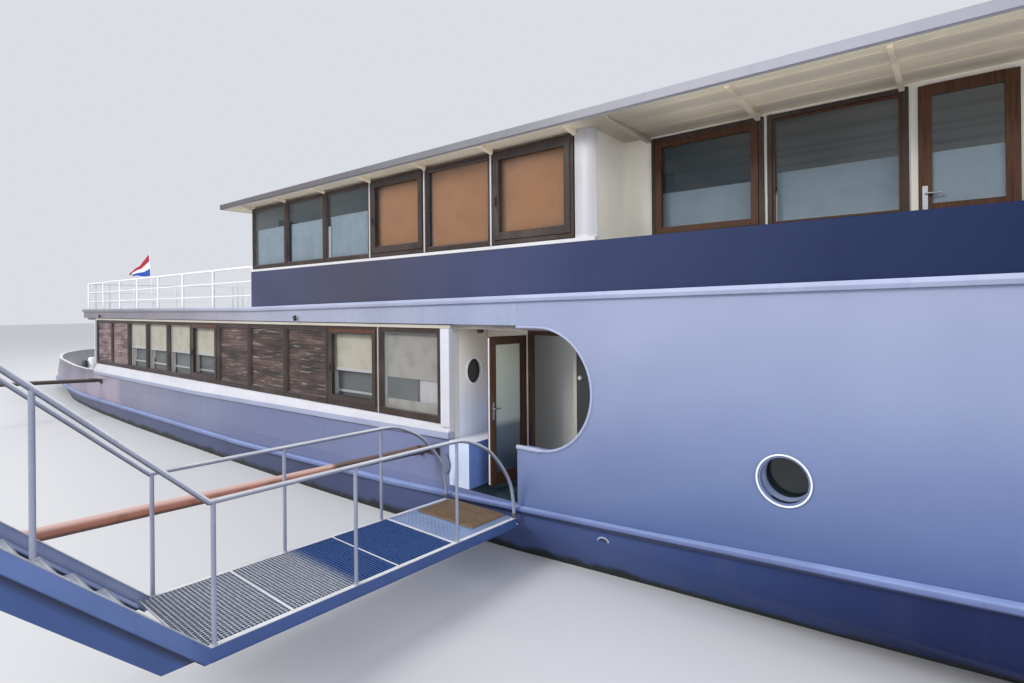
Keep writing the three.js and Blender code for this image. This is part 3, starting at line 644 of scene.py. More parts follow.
@dataclass(frozen=True)
class HullPaint(Finish):
    """Hull paint: satin above the strake, painted shade below it, a painted shadow line under the strake, a growth
    line at the water, and the deck paint.
    """

    growth: RGB = (0.016, 0.02, 0.018)  # Colour of the growth at the waterline
    deck: RGB = (0.012, 0.022, 0.028)  # Colour of the deck under the porch
    deck_aft: RGB = (0.3, 0.32, 0.36)  # Colour of the open decks

    def lay(self, r: Recipe) -> None:
        """Lay the finish's nodes.

        Args:
            r: The recipe that takes them.
        """
        x, _, z = r.axes()
        _, _, up = r.facing()
        strake = 0.45 + 0.00517 * ((x + 0.25).at_least(0.0) ** 1.8)
        # Painted shade below the strake
        below = (z - strake).rise(0.02, -0.03)
        # Painted shadow line just under the strake
        shadow = (z - strake).size().rise(0.075, 0.03)
        speck = r.noise(38.0, 3.0)
        clouds = r.noise(0.35, 4.0).rise(0.3, 0.7)
        streak = r.noise(5.0, 4.0, (1.0, 1.0, 0.05)).rise(0.52, 0.78)
        # Colour of the painted shade below the strake, darkest forward under the flare
        low = r.ramp((x + 9.0) / 22.0, [(0.0, (0.1, 0.11, 0.19)), (0.32, (0.078, 0.094, 0.175)),
                                        (0.55, (0.06, 0.07, 0.135)), (0.73, (0.072, 0.1, 0.22)),
                                        (0.83, (0.052, 0.082, 0.205)), (0.88, (0.026, 0.048, 0.15)),
                                        (0.97, (0.007, 0.016, 0.072))])
        low = r.tint(low, r.blend(WHITE, (0.78, 0.8, 0.86), clouds))
        low = r.blend(low, (0.1, 0.09, 0.11), streak * 0.22)
        colour = r.blend(topside(r), low, below)
        colour = r.blend(colour, (0.035, 0.045, 0.095), shadow * below * 0.7)
        edge = z + (r.noise(3.2, 4.0, (1.0, 1.0, 0.4)) - 0.5) * 0.22
        colour = r.blend(colour, self.growth, edge.rise(0.16, 0.05))
        on_deck = up.rise(0.75, 0.9) * z.rise(0.6, 0.7)
        wear = r.noise(3.0, 5.0).rise(0.42, 0.62)
        deck = r.blend(self.deck, scaled(self.deck, 2.2), wear)
        open_deck = r.blend(self.deck_aft, scaled(self.deck_aft, 0.66), wear)
        deck = r.blend(deck, open_deck, x.rise(6.2, 5.8))
        colour = r.blend(colour, deck, on_deck)
        rough = 0.34 + (speck - 0.5) * 0.2 + below * 0.14 + on_deck * 0.3
        wavy = r.noise(0.9, 2.0, (1.0, 1.0, 0.5))
        r.finish(colour, rough, wavy + speck * 0.08, 0.012, Specular_IOR_Level=0.22)


@dataclass(frozen=True)
class SillPaint(Finish):
    """Paint of the coaming: white slope and posts, lilac lip with a painted shadow line under it, the side's own
    paint below, and the low box in painted light and shade by its facing.
    """

    white: RGB = (0.62, 0.62, 0.67)  # Colour of the slope and the posts
    lip: RGB = (0.315, 0.345, 0.48)  # Colour of the proud lip
    bend: float = -1.3  # X where the lip's sheer turns up
    z_bend: float = 1.345  # Height of the lip's top there
    climb: Pair = (0.00308, 0.01592)  # Its rise for each metre aft and forward of the bend
    tall: float = 0.092  # Height of the lip

    def lay(self, r: Recipe) -> None:
        """Lay the finish's nodes.

        Args:
            r: The recipe that takes them.
        """
        x, y, z = r.axes()
        ahead, _, up = r.facing()
        ahead_of = x - self.bend
        top = ahead_of.at_most(0.0) * self.climb[0] + ahead_of.at_least(0.0) * self.climb[1] + self.z_bend
        over = (z - top).rise(-0.006, 0.006)
        under = (z - top + self.tall).rise(0.004, -0.004)
        clouds = r.noise(0.8, 4.0).rise(0.38, 0.68)
        streak = r.noise(9.0, 3.0, (1.0, 1.0, 0.1)).rise(0.5, 0.72)
        grime = r.noise(2.2, 5.0, (0.25, 1.0, 1.0)).rise(0.5, 0.68)
        white = r.blend(self.white, (0.5, 0.5, 0.56), (clouds * 0.4 + streak * 0.3 + grime * 0.35).at_most(1.0))
        lip = r.blend(self.lip, (0.255, 0.275, 0.4), clouds * 0.6)
        inner = (y.size() - 2.6).rise(0.0, -0.01)
        colour = r.blend(lip, white, over)
        colour = r.blend(colour, topside(r), under * (1 - inner))
        # Painted shadow line under the lip
        line = (z - top + self.tall + 0.008).size().rise(0.017, 0.009) * (y.size() - 2.69).rise(0.0, 0.01)
        colour = r.blend(colour, (0.06, 0.065, 0.115), line * 0.8)
        # Low box: painted shade on its fore face, painted light on its top
        low_box = x.rise(6.868, 6.872)
        box = r.blend(r.blend((0.58, 0.67, 0.84), (0.16, 0.26, 0.64), ahead.rise(0.5, 0.8)), (0.78, 0.8, 0.86),
                      up.rise(0.5, 0.8))
        colour = r.blend(colour, box, low_box)
        fine = r.noise(90.0, 2.0)
        r.finish(colour, 0.38 + (fine - 0.5) * 0.18 + streak * 0.1, fine * 0.4 + r.noise(3.0, 2.0), 0.0016)


@dataclass(frozen=True)
class Shutter(Finish):
    """Stained slats with level, uneven streaks of worn finish."""

    dark: RGB  # Colour of the stain
    middle: RGB  # Colour where it has faded
    light: RGB  # Colour of the worn streaks
    pitch: float = 0.057  # Height of one slat

    def lay(self, r: Recipe) -> None:
        """Lay the finish's nodes.

        Args:
            r: The recipe that takes them.
        """
        _, _, z = r.axes()
        wide = r.noise(1.5, 2.0, (0.7, 1.0, 3.6))
        streak = r.noise(2.4, 5.0, (0.8, 1.0, 9.0), 0.7)
        grain = r.noise(3.0, 5.0, (2.0, 1.0, 34.0), 0.7)
        lit = (streak.rise(0.54, 0.66) * 0.75 + wide.rise(0.54, 0.66) * 0.2).at_most(1.0)
        colour = r.blend(self.dark, self.middle, wide.rise(0.36, 0.56))
        colour = r.blend(colour, self.light, lit)
        colour = r.blend(colour, scaled(self.dark, 0.45), grain.rise(0.5, 0.62) * 0.6)
        seam = (z * (pi / self.pitch)).wave().size().rise(0.16, 0.05)
        colour = r.blend(colour, (0.012, 0.009, 0.008), seam * 0.7)
        r.finish(colour, 0.5 + (grain - 0.5) * 0.3, grain - seam, 0.002)


@dataclass(frozen=True)
class Wood(Finish):
    """Weathered hardwood with its grain along one axis."""

    dark: RGB  # Colour of the dark grain
    light: RGB  # Colour of the light grain
    along: int = 2  # Axis of the grain, 0 to 2
    rough: float = 0.5  # Roughness
    worn: float = 0.2  # Share of grey weathering
    red_over: Optional[float] = None  # Height above which a lower head piece is redder

    def lay(self, r: Recipe) -> None:
        """Lay the finish's nodes.

        Args:
            r: The recipe that takes them.
        """
        stretch = [22.0, 22.0, 22.0]
        stretch[self.along] = 1.1
        grain = r.noise(2.2, 6.0, tuple(stretch), 0.65)
        clouds = r.noise(1.6, 3.0)
        colour = r.ramp(grain, [(0.3, self.dark), (0.55, self.light), (0.72, self.dark)])
        colour = r.blend(colour, (0.2, 0.17, 0.15), clouds.rise(0.45, 0.75) * self.worn)
        if self.red_over:
            z = r.axes()[2]
            head = (z - self.red_over).rise(0.0, 0.01) * z.rise(3.2, 3.1)
            colour = r.blend(colour, (0.135, 0.042, 0.016), head * (grain * 0.5 + 0.35))
        r.finish(colour, self.rough + (grain - 0.5) * 0.3, grain, 0.0012, Specular_IOR_Level=0.22)


@dataclass(frozen=True)
class Glass(Finish):
    """Window glass that shows a dim inside and a soft shine."""

    tint: RGB = (0.1, 0.115, 0.12)  # Colour of the pane
    alpha: float = 0.42  # How much of the pane covers what is behind it

    def lay(self, r: Recipe) -> None:
        """Lay the finish's nodes.

        Args:
            r: The recipe that takes them.
        """
        film = r.noise(1.4, 3.0)
        colour = r.blend(self.tint, scaled(self.tint, 1.7), film.rise(0.4, 0.7) * 0.5)
        r.finish(colour, 0.03 + film * 0.05, r.noise(0.8, 1.0), 0.003, Alpha=self.alpha, IOR=1.45,
                 Specular_IOR_Level=0.5, Coat_Weight=0.15, Coat_Roughness=0.02)


@dataclass(frozen=True)
class Steel(Finish):
    """Bare or galvanised steel with spangle and dull patches."""

    light: RGB  # Colour of the bright patches
    dark: RGB  # Colour of the dull patches
    metal: float = 0.75  # Metallic share
    rough: float = 0.42  # Roughness

    def lay(self, r: Recipe) -> None:
        """Lay the finish's nodes.

        Args:
            r: The recipe that takes them.
        """
        spangle = r.cells(34.0)
        clouds = r.noise(2.3, 4.0)
        colour = r.blend(self.light, self.dark, (spangle * 0.5 + clouds.rise(0.35, 0.7) * 0.6).at_most(1.0))
        r.finish(colour, self.rough + (spangle - 0.4) * 0.18, r.noise(60.0, 3.0), 0.0006, self.metal)


@dataclass(frozen=True)
class Rust(Finish):
    """Primer over steel with rust and scuffs, a painted highlight on its upper side and painted shade on its
    underside.
    """

    primer: RGB  # Colour of the primer outboard
    inner: RGB  # Colour near the boat
    turn: float  # Distance from the centreline in metres where one becomes the other
    painted_highlight: RGB = (0.8, 0.56, 0.5)  # Colour of the painted highlight on the upper side

    def lay(self, r: Recipe) -> None:
        """Lay the finish's nodes.

        Args:
            r: The recipe that takes them.
        """
        _, y, _ = r.axes()
        patches = r.noise(5.0, 6.0).rise(0.52, 0.7)
        fine = r.noise(48.0, 4.0)
        near = (y + self.turn + (r.noise(4.0, 3.0) - 0.5) * 0.3).rise(-0.05, 0.05)
        colour = r.blend(self.primer, scaled(self.primer, 0.62), patches)
        _, _, up = r.facing()
        # Painted highlight on what faces up, weaker near the boat
        glow = up.rise(0.25, 0.92) * (1 - near * 0.75)
        colour = r.blend(colour, self.inner, near)
        colour = r.blend(colour, self.painted_highlight, glow * 0.8)
        # Painted shade on what faces down
        colour = r.blend(colour, scaled(self.inner, 0.35), up.rise(-0.05, -0.65) * 0.85)
        colour = r.blend(colour, (0.62, 0.55, 0.5), fine.rise(0.68, 0.74) * 0.25)
        r.finish(colour, 0.55 + (fine - 0.5) * 0.35, fine + patches * 0.5, 0.0015)


@dataclass(frozen=True)
class Planks(Finish):
    """Boards laid side by side with dark seams."""

    colour: RGB  # Colour of the boards
    shade: RGB  # Colour of the grain
    wide: float = 0.14  # Width of one board
    across: int = 1  # Axis along which the boards are counted, 0 or 1
    seam: RGB = (0.03, 0.028, 0.025)  # Colour of the seams

    def lay(self, r: Recipe) -> None:
        """Lay the finish's nodes.

        Args:
            r: The recipe that takes them.
        """
        place = r.axes()[self.across]
        cycle = (place * (pi / self.wide)).wave().size()
        seam = cycle.rise(0.1, 0.03)
        stretch = (1.2, 24.0, 8.0) if self.across == 1 else (24.0, 1.2, 8.0)
        grain = r.noise(2.0, 5.0, stretch)
        colour = r.blend(self.colour, self.shade, grain.rise(0.4, 0.65))
        colour = r.blend(colour, self.seam, seam)
        r.finish(colour, 0.62 + (grain - 0.5) * 0.2, grain * 0.3 - seam, 0.003)


@dataclass(frozen=True)
class Cloth(Finish):
    """Woven or knitted cloth."""

    colour: RGB  # Colour of the threads
    shade: RGB  # Colour between them
    threads: float = 700.0  # Threads for each metre
    rough: float = 0.9  # Roughness

    def lay(self, r: Recipe) -> None:
        """Lay the finish's nodes.

        Args:
            r: The recipe that takes them.
        """
        x, y, z = r.axes()
        weave = ((x + y) * self.threads).wave() * (z * self.threads).wave()
        clouds = r.noise(4.0, 3.0)
        colour = r.blend(self.colour, self.shade, clouds.rise(0.4, 0.7) * 0.5 + weave * 0.12)
        r.finish(colour, self.rough, weave + clouds, 0.0012, Sheen_Weight=0.2)


@dataclass(frozen=True)
class FlagCloth(Finish):
    """Flag cloth in three level stripes."""

    stripes: tuple[RGB, RGB, RGB]  # Colours from the top down

    def lay(self, r: Recipe) -> None:
        """Lay the finish's nodes.

        Args:
            r: The recipe that takes them.
        """
        node = r.node("ShaderNodeAttribute", {"attribute_name": "drop"}, {})
        drop = Value(r, node.outputs["Fac"])
        colour = r.blend(self.stripes[0], self.stripes[1], drop.rise(0.325, 0.34))
        colour = r.blend(colour, self.stripes[2], drop.rise(0.66, 0.675))
        weave = r.noise(420.0, 2.0)
        r.finish(colour, 0.85, weave, 0.0006, Sheen_Weight=0.25)


@dataclass(frozen=True)
class Coir(Finish):
    """Bristly doormat."""

    def lay(self, r: Recipe) -> None:
        """Lay the finish's nodes.

        Args:
            r: The recipe that takes them.
        """
        tuft = r.noise(160.0, 5.0, rough=0.75)
        wide = r.noise(7.0, 3.0)
        colour = r.ramp(tuft, [(0.3, (0.05, 0.03, 0.018)), (0.52, (0.2, 0.13, 0.075)), (0.7, (0.34, 0.24, 0.15))])
        colour = r.blend(colour, (0.12, 0.08, 0.05), wide.rise(0.45, 0.7) * 0.5)
        r.finish(colour, 0.95, tuft, 0.008)


class Locker:
    """Makes each finish once and hands it out by name."""

    finishes: tuple[Finish, ...] = (
        HullPaint("hull_lavender"),
        SillPaint("sill_white"),
        CrownPaint("strake_lavender", (0.13, 0.175, 0.365), (0.27, 0.35, 0.62), (0.05, 0.065, 0.15)),
        RunPaint("fascia_lilac", ((-9.0, (0.198, 0.184, 0.21)), (-4.0, (0.216, 0.2, 0.23)),
            (-1.0, (0.262, 0.25, 0.29)), (2.5, (0.345, 0.36, 0.46)),
            (6.0, (0.318, 0.344, 0.456)), (8.06, (0.303, 0.342, 0.49))),
            trim=(0.42, 0.46, 0.62), joins=8.0),
        RunPaint("trim_lilac", ((8.0, (0.3, 0.34, 0.49)), (16.0, (0.3, 0.34, 0.49))),
            trim=(0.46, 0.5, 0.68), joins=8.0),
        RunPaint("porch_cream", ((0.8, (0.7, 0.78, 0.96)), (1.7, (0.78, 0.82, 0.95)), (2.2, (0.92, 0.88, 0.84)),
            (2.8, (0.92, 0.84, 0.72))), axis=2, shade=0.12),
        RunPaint("pillar_white", ((3.9, (0.64, 0.635, 0.65)), (3.99, (0.64, 0.635, 0.65)),
            (4.03, (0.47, 0.462, 0.485)), (5.3, (0.45, 0.44, 0.45))), axis=2, shade=0.15),
        # Hall wall: painted shade towards the door jamb, and painted light given off though it is no lamp
        RunPaint("hall_painted_light", ((7.6, (0.34, 0.34, 0.33)), (8.1, (0.62, 0.62, 0.59)), (8.5, (0.95, 0.95, 0.92))),
            shade=0.1, glow=0.11),
        Paint("moulding_lilac", (0.38, 0.42, 0.58), (0.3, 0.335, 0.48), 0.38, 0.2),
        Paint("trim_cream", (0.52, 0.48, 0.41), (0.4, 0.365, 0.32), 0.42, 0.2),
        SternPaint("stern_white"),
        RunPaint("band_slate", ((1.0, (0.056, 0.063, 0.125)), (5.0, (0.066, 0.066, 0.103)),
            (8.0, (0.05, 0.061, 0.136)), (9.8, (0.026, 0.04, 0.1)),
            (12.0, (0.013, 0.026, 0.076)), (14.5, (0.004, 0.011, 0.05))),
            rough=0.45, streaks=0.2, sheen=0.15),
        Paint("cap_white", (0.58, 0.565, 0.575), (0.47, 0.46, 0.48), 0.4, 0.3),
        Paint("ring_white", (0.92, 0.92, 0.94), (0.8, 0.8, 0.84), 0.35, 0.1),
        Paint("tube_lavender", (0.36, 0.43, 0.62), (0.25, 0.31, 0.5), 0.38, 0.1),
        Paint("wall_cream", (0.86, 0.825, 0.74), (0.68, 0.65, 0.59), 0.5, 0.3),
        Paint("wall_grey", (0.68, 0.66, 0.64), (0.55, 0.535, 0.54), 0.48, 0.3),
        Paint("column_white", (0.7, 0.69, 0.7), (0.58, 0.57, 0.59), 0.4, 0.2),
        SoffitPaint("soffit_cream"),
        Paint("roof_grey", (0.46, 0.47, 0.51), (0.36, 0.37, 0.4), 0.5, 0.15),
        RunPaint("gutter_grey", ((-1.5, (0.07, 0.065, 0.072)), (4.0, (0.12, 0.108, 0.12)),
            (8.0, (0.198, 0.2, 0.212)), (11.0, (0.31, 0.31, 0.365)),
            (16.0, (0.36, 0.37, 0.43)))),
        Paint("rail_white", (0.9, 0.91, 0.93), (0.74, 0.75, 0.79), 0.34, 0.2),
        BeamPaint("beam_blue"),
        Paint("nosing_bright", (0.66, 0.7, 0.78), (0.46, 0.5, 0.6), 0.3, 0.2),
        Paint("gear_slate", (0.05, 0.06, 0.085), (0.09, 0.08, 0.08), 0.45, 0.4),
        Paint("disc_violet", (0.13, 0.15, 0.235), (0.1, 0.115, 0.175), 0.45, 0.2),
        Paint("bracket_brown", (0.04, 0.03, 0.028), (0.085, 0.055, 0.042), 0.6, 0.4),
        Paint("lamp_black", (0.01, 0.01, 0.012), (0.03, 0.03, 0.032), 0.35, 0.1, 0.2),
        # Colour of the dark sheets that stand for painted shade inside the cabins
        Paint("room_painted_shade", (0.03, 0.029, 0.028), (0.018, 0.017, 0.016), 0.8, 0.0),
        Paint("panel_green", (0.15, 0.17, 0.172), (0.3, 0.31, 0.3), 0.6, 0.0),
        Paint("jamb_dark", (0.022, 0.028, 0.032), (0.04, 0.04, 0.04), 0.5, 0.1),
        Wood("frame_wood", (0.017, 0.011, 0.01), (0.052, 0.034, 0.028), 2, 0.5, 0.15),
        Wood("sash_wood", (0.024, 0.01, 0.005), (0.085, 0.034, 0.015), 2, 0.4, 0.05),
        Wood("sash_dark", (0.016, 0.011, 0.01), (0.054, 0.04, 0.036), 2, 0.45, 0.15, 2.8),
        Wood("bead_wood", (0.03, 0.022, 0.022), (0.115, 0.1, 0.105), 2, 0.5, 0.4),
        Wood("door_wood", (0.026, 0.013, 0.009), (0.09, 0.042, 0.024), 2, 0.4, 0.08),
        Shutter("slat_wood", (0.018, 0.009, 0.007), (0.07, 0.034, 0.025), (0.3, 0.235, 0.215)),
        Shutter("slat_rose", (0.085, 0.05, 0.048), (0.25, 0.165, 0.168), (0.48, 0.38, 0.39)),
        Glass("window_pane", (0.04, 0.045, 0.048), 0.14),
        Glass("upper_pane", (0.05, 0.08, 0.1), 0.27),
        RunPaint("frosted_pane", ((0.95, (0.05, 0.075, 0.115)), (1.58, (0.11, 0.15, 0.19)),
            (1.68, (0.4, 0.455, 0.43)), (2.2, (0.44, 0.49, 0.43)),
            (2.75, (0.56, 0.56, 0.45))), axis=2, shade=0.15, rough=0.16, streaks=0.1),
        # Near-opaque dark glass: painted shade for the inside behind it
        Glass("porthole_pane", (0.006, 0.011, 0.012), 0.97),
        CrownPaint("rail_zinc", (0.3, 0.32, 0.415), (0.95, 0.95, 0.96), (0.065, 0.07, 0.1), 0.3, 0.1, 0.02),
        GratePaint("grate_zinc"),
        CrownPaint("tread_zinc", (0.74, 0.77, 0.84), (0.95, 0.95, 0.97), (0.26, 0.28, 0.36), 0.35, 0.0, 0.05),
        # Its blue is painted skylight in the boat's shade
        Steel("tread_plate", (0.36, 0.46, 0.68), (0.24, 0.32, 0.52), 0.3, 0.4),
        Steel("handle_steel", (0.7, 0.7, 0.72), (0.5, 0.5, 0.52), 0.95, 0.25),
        Rust("boom_primer", (0.42, 0.165, 0.105), (0.052, 0.03, 0.028), 4.35),
        Rust("boom_brown", (0.075, 0.045, 0.042), (0.05, 0.034, 0.034), 4.6, (0.62, 0.54, 0.46)),
        Planks("terrace_boards", (0.34, 0.31, 0.28), (0.22, 0.2, 0.18)),
        Cloth("blind_cream", (0.66, 0.62, 0.5), (0.44, 0.41, 0.31), 320.0),
        # Tan sheet behind the glass: painted reflection of brick houses
        Cloth("blind_tan", (0.82, 0.345, 0.095), (0.66, 0.27, 0.07), 320.0),
        Cloth("blind_pale", (0.52, 0.5, 0.46), (0.3, 0.29, 0.26), 320.0),
        # Pale blue sheets behind the glass: painted sky reflection
        Cloth("curtain_sheer", (0.56, 0.68, 0.78), (0.4, 0.52, 0.6), 320.0),
        FlagCloth("flag_cloth", ((0.42, 0.008, 0.035), (0.82, 0.84, 0.9), (0.012, 0.075, 0.42))),
        Coir("coir"),
    )

    def __init__(self) -> None:
        """Start with nothing made."""
        self.made: dict[str, bpy.types.Material] = {}

    def get(self, name: str) -> bpy.types.Material:
        """Material of that name, made on first use.

        Args:
            name: Name of the finish.

        Returns:
            The material.
        """
        if name not in self.made:
            recipe = Recipe(name)
            next(f for f in self.finishes if f.name == name).lay(recipe)
            self.made[name] = recipe.material
        return self.made[name]


LOCKER = Locker()


def half_turn(count: int) -> list[float]:
    """Angles in equal steps over half a turn, with both ends."""
    return [pi * i / count for i in range(count + 1)]


def turns(count: int) -> list[float]:
    """Angles in equal steps round a full turn."""
    return [2 * pi * i / count for i in range(count)]


@dataclass
class Draft:
    """Points and faces of one piece, gathered before it becomes an object."""

    points: list[Vector] = field(default_factory=list)  # The points
    faces: list[tuple[int, ...]] = field(default_factory=list)  # Numbers of the points round each face

    def add(self, points: Sequence[Point], faces: Sequence[Sequence[int]]) -> None:
        """Append points and the faces among them.

        Args:
            points: The new points.
            faces: Numbers of the new points round each face.
        """
        start = len(self.points)
        self.points += [Vector(p) for p in points]
        self.faces += [tuple(start + i for i in face) for face in faces]

    def box(self, x0: float, x1: float, y0: float, y1: float, z0: float, z1: float) -> None:
        """Append a box."""
        pts = [(x, y, z) for x in (x0, x1) for y in (y0, y1) for z in (z0, z1)]
        self.add(pts, [(0, 1, 3, 2), (4, 6, 7, 5), (0, 4, 5, 1), (2, 3, 7, 6), (0, 2, 6, 4), (1, 5, 7, 3)])

    def loft(self, sections: Sequence[Sequence[Point]], ring: bool = False) -> None:
        """Append a skin through sections that each have the same number of points.

        Args:
            sections: The sections in order.
            ring: Whether the last one joins the first, in place of closed ends.
        """
        n, m = len(sections[0]), len(sections)
        faces: list[tuple[int, ...]] = []
        for s in range(m if ring else m - 1):
            a, b = s * n, ((s + 1) % m) * n
            faces += [(a + i, a + (i + 1) % n, b + (i + 1) % n, b + i) for i in range(n)]
        if not ring:
            faces += [tuple(range(n - 1, -1, -1)), tuple((m - 1) * n + i for i in range(n))]
        self.add([p for s in sections for p in s], faces)

    def tube(self, path: Sequence[Point], radius: Union[float, Sequence[float]], sides: int = 14,
             ring: bool = False) -> None:
        """Append a round bar along a path, turned with the path's bends.

        Args:
            path: Points of the centreline.
            radius: One radius, or one for each point.
            sides: Sides of the bar.
            ring: Whether the path closes on itself.
        """
        pts = [Vector(p) for p in path]
        n = len(pts)
        radii = [radius] * n if isinstance(radius, (int, float)) else list(radius)
        side = None
        sections = []
        for i, p in enumerate(pts):
            before = pts[i - 1] if (i or ring) else p
            after = pts[(i + 1) % n] if (i < n - 1 or ring) else p
            d1 = (p - before).normalized() if (p - before).length > 1e-9 else None
            d2 = (after - p).normalized() if (after - p).length > 1e-9 else None
            along = ((d1 or d2) + (d2 or d1)).normalized()
            if side is None:
                side = along.cross(Vector((0, 0, 1)) if abs(along.z) < 0.9 else Vector((1, 0, 0))).normalized()
            side = (side - along * side.dot(along)).normalized()
            other = along.cross(side)
            widen = 1.0 / max(0.5, along.dot(d1 or along))
            bend = ((d2 or along) - (d1 or along))
            axis = bend.normalized() if bend.length > 1e-6 else None
            ringpts = []
            for t in turns(sides):
                v = side * cos(t) + other * sin(t)
                if axis is not None:
                    v = v + axis * v.dot(axis) * (widen - 1.0)
                ringpts.append(p + v * radii[i])
            sections.append(ringpts)
        self.loft(sections, ring=ring)

    def post(self, x: float, y: float, levels: Sequence[float], radius: Union[float, Sequence[float]],
             sides: int) -> None:
        """Append an upright round bar.

        Args:
            x: Station.
            y: Distance from the centreline.
            levels: Heights of its rings.
            radius: One radius, or one for each ring.
            sides: Sides of the bar.
        """
        self.tube([(x, y, z) for z in levels], radius, sides)

    def rod(self, start: Point, end: Point, radius: float, sides: int = 14) -> None:
        """Append a straight round bar."""
        self.tube([start, end], radius, sides)

    def frame(self, x0: float, x1: float, z0: float, z1: float, y0: float, y1: float, bar: float,
              foot: Optional[float] = None) -> None:
        """Append a four-sided window frame that lies in X and Z.

        Args:
            x0: Aft edge.
            x1: Fore edge.
            z0: Foot.
            z1: Head.
            y0: One face.
            y1: Other face.
            bar: Width of its bars.
            foot: Width of the bar at the foot, where it differs.
        """
        low = bar if foot is None else foot
        self.box(x0, x0 + bar, y0, y1, z0, z1)
        self.box(x1 - bar, x1, y0, y1, z0, z1)
        self.box(x0 + bar, x1 - bar, y0, y1, z0, z0 + low)
        self.box(x0 + bar, x1 - bar, y0, y1, z1 - bar, z1)

    def mirror(self) -> "Draft":
        """The same piece on the boat's other side."""
        pts = [Vector((p.x, -p.y, p.z)) for p in self.points]
        return Draft(pts, [tuple(reversed(f)) for f in self.faces])

    def piece(self, name: str, finish: str, body: Body = Body.BOAT, slot: Optional[str] = "white_paint",
              **more: object) -> bpy.types.Object:
        """Turn the draft into an object.

        Args:
            name: The object's name.
            finish: Name of its finish.
            body: The body it rides on.
            slot: Name of a material slot, handed on to dress.
            more: What dress takes besides.

        Returns:
            The object.
        """
        mesh = bpy.data.meshes.new(name)
        mesh.from_pydata(self.points, [], self.faces)
        return dress(mesh, name, finish, body, slot=slot, **more)


def dress(mesh: bpy.types.Mesh, name: str, finish: str, body: Body = Body.BOAT, bevel: float = 0.0,
          smooth: float = 35.0, slot: Optional[str] = None, instead_of: Sequence[str] = ()) -> bpy.types.Object:
    """Make an object from a mesh, with its finish, shading and body.

    Args:
        mesh: The mesh.
        name: The object's name.
        finish: Name of its finish.
        body: The body it rides on.
        bevel: Width of the rounded edges.
        smooth: Angle in degrees up to which edges are shaded round.
        slot: Not used.
        instead_of: CAD nodes that it stands for.

    Returns:
        The object.
    """
    work = bmesh.new()
    work.from_mesh(mesh)
    bmesh.ops.remove_doubles(work, verts=work.verts, dist=MERGE)
    bmesh.ops.recalc_face_normals(work, faces=work.faces)
    work.to_mesh(mesh)
    work.free()
    for polygon in mesh.polygons:
        polygon.use_smooth = True
    mesh.set_sharp_from_angle(angle=radians(smooth))
    mesh.materials.clear()
    mesh.materials.append(LOCKER.get(finish))
    piece = bpy.data.objects.new(name, mesh)
    bpy.context.scene.collection.objects.link(piece)
    if bevel:
        edge = piece.modifiers.new("edges", "BEVEL")
        edge.width = bevel
        edge.segments = 2
        edge.limit_method = "ANGLE"
        edge.angle_limit = BEVEL_ANGLE
        edge.harden_normals = True
    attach(piece, body.value)
    if instead_of:
        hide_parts(*instead_of)
    log.info("%s: %d faces", name, len(mesh.polygons))
    return piece


def paint_node(node: str, finish: str) -> None:
    """Give a CAD node that stays its finish.

    Args:
        node: The CAD node.
        finish: Name of the finish.
    """
    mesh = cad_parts[node].data
    mesh.materials.clear()
    mesh.materials.append(LOCKER.get(finish))


def rounded(node: str, finish: str, **more: object) -> bpy.types.Object:
    """Stand a copy of a CAD node in its place, with merged points, round shading and softened edges.

    Args:
        node: The CAD node.
        finish: Name of the finish.
        more: What dress takes besides.

    Returns:
        The piece.
    """
    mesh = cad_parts[node].data.copy()
    work = bmesh.new()
    work.from_mesh(mesh)
    bmesh.ops.remove_doubles(work, verts=work.verts, dist=CAD_MERGE)
    bmesh.ops.dissolve_limit(work, angle_limit=CAD_FLAT, verts=work.verts, edges=work.edges)
    work.to_mesh(mesh)
    work.free()
    return dress(mesh, f"{node}_skin", finish, instead_of=[node], **more)


def skin(node: str, x: float, z: float) -> float:
    """Y of a CAD node's starboard face.

    Args:
        node: The CAD node.
        x: Station.
        z: Height.

    Returns:
        Where a level line from starboard first meets the node.
    """
    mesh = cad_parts[node].data
    tree = BVHTree.FromPolygons([v.co for v in mesh.vertices], [tuple(p.vertices) for p in mesh.polygons])
    place, _, _, _ = tree.ray_cast(Vector((x, -6.0, z)), Vector((0.0, 1.0, 0.0)))
    return place.y if place is not None else -2.7


def grid(across: int, down: int) -> list[tuple[int, ...]]:
    """Faces of a sheet whose points follow each other row by row.

    Args:
        across: Faces in a row.
        down: Rows of faces.

    Returns:
        The faces.
    """
    n = across + 1
    return [(j * n + i, j * n + i + 1, (j + 1) * n + i + 1, (j + 1) * n + i)
            for j in range(down) for i in range(across)]


def smooth_line(points: Sequence[Pair], steps: int) -> list[Pair]:
    """A smooth line through points of a plane.

    Args:
        points: The points in order.
        steps: Parts between each two.

    Returns:
        The points of the smooth line.
    """
    line: list[Pair] = []
    for i in range(len(points) - 1):
        four = [points[max(0, i - 1)], points[i], points[i + 1], points[min(len(points) - 1, i + 2)]]
        for k in range(steps):
            t = k / steps
            line.append(tuple(0.5 * (2 * b + (c - a) * t + (2 * a - 5 * b + 4 * c - d) * t * t
                                     + (3 * b - a - 3 * c + d) * t ** 3) for a, b, c, d in zip(*four)))
    return line + [points[-1]]


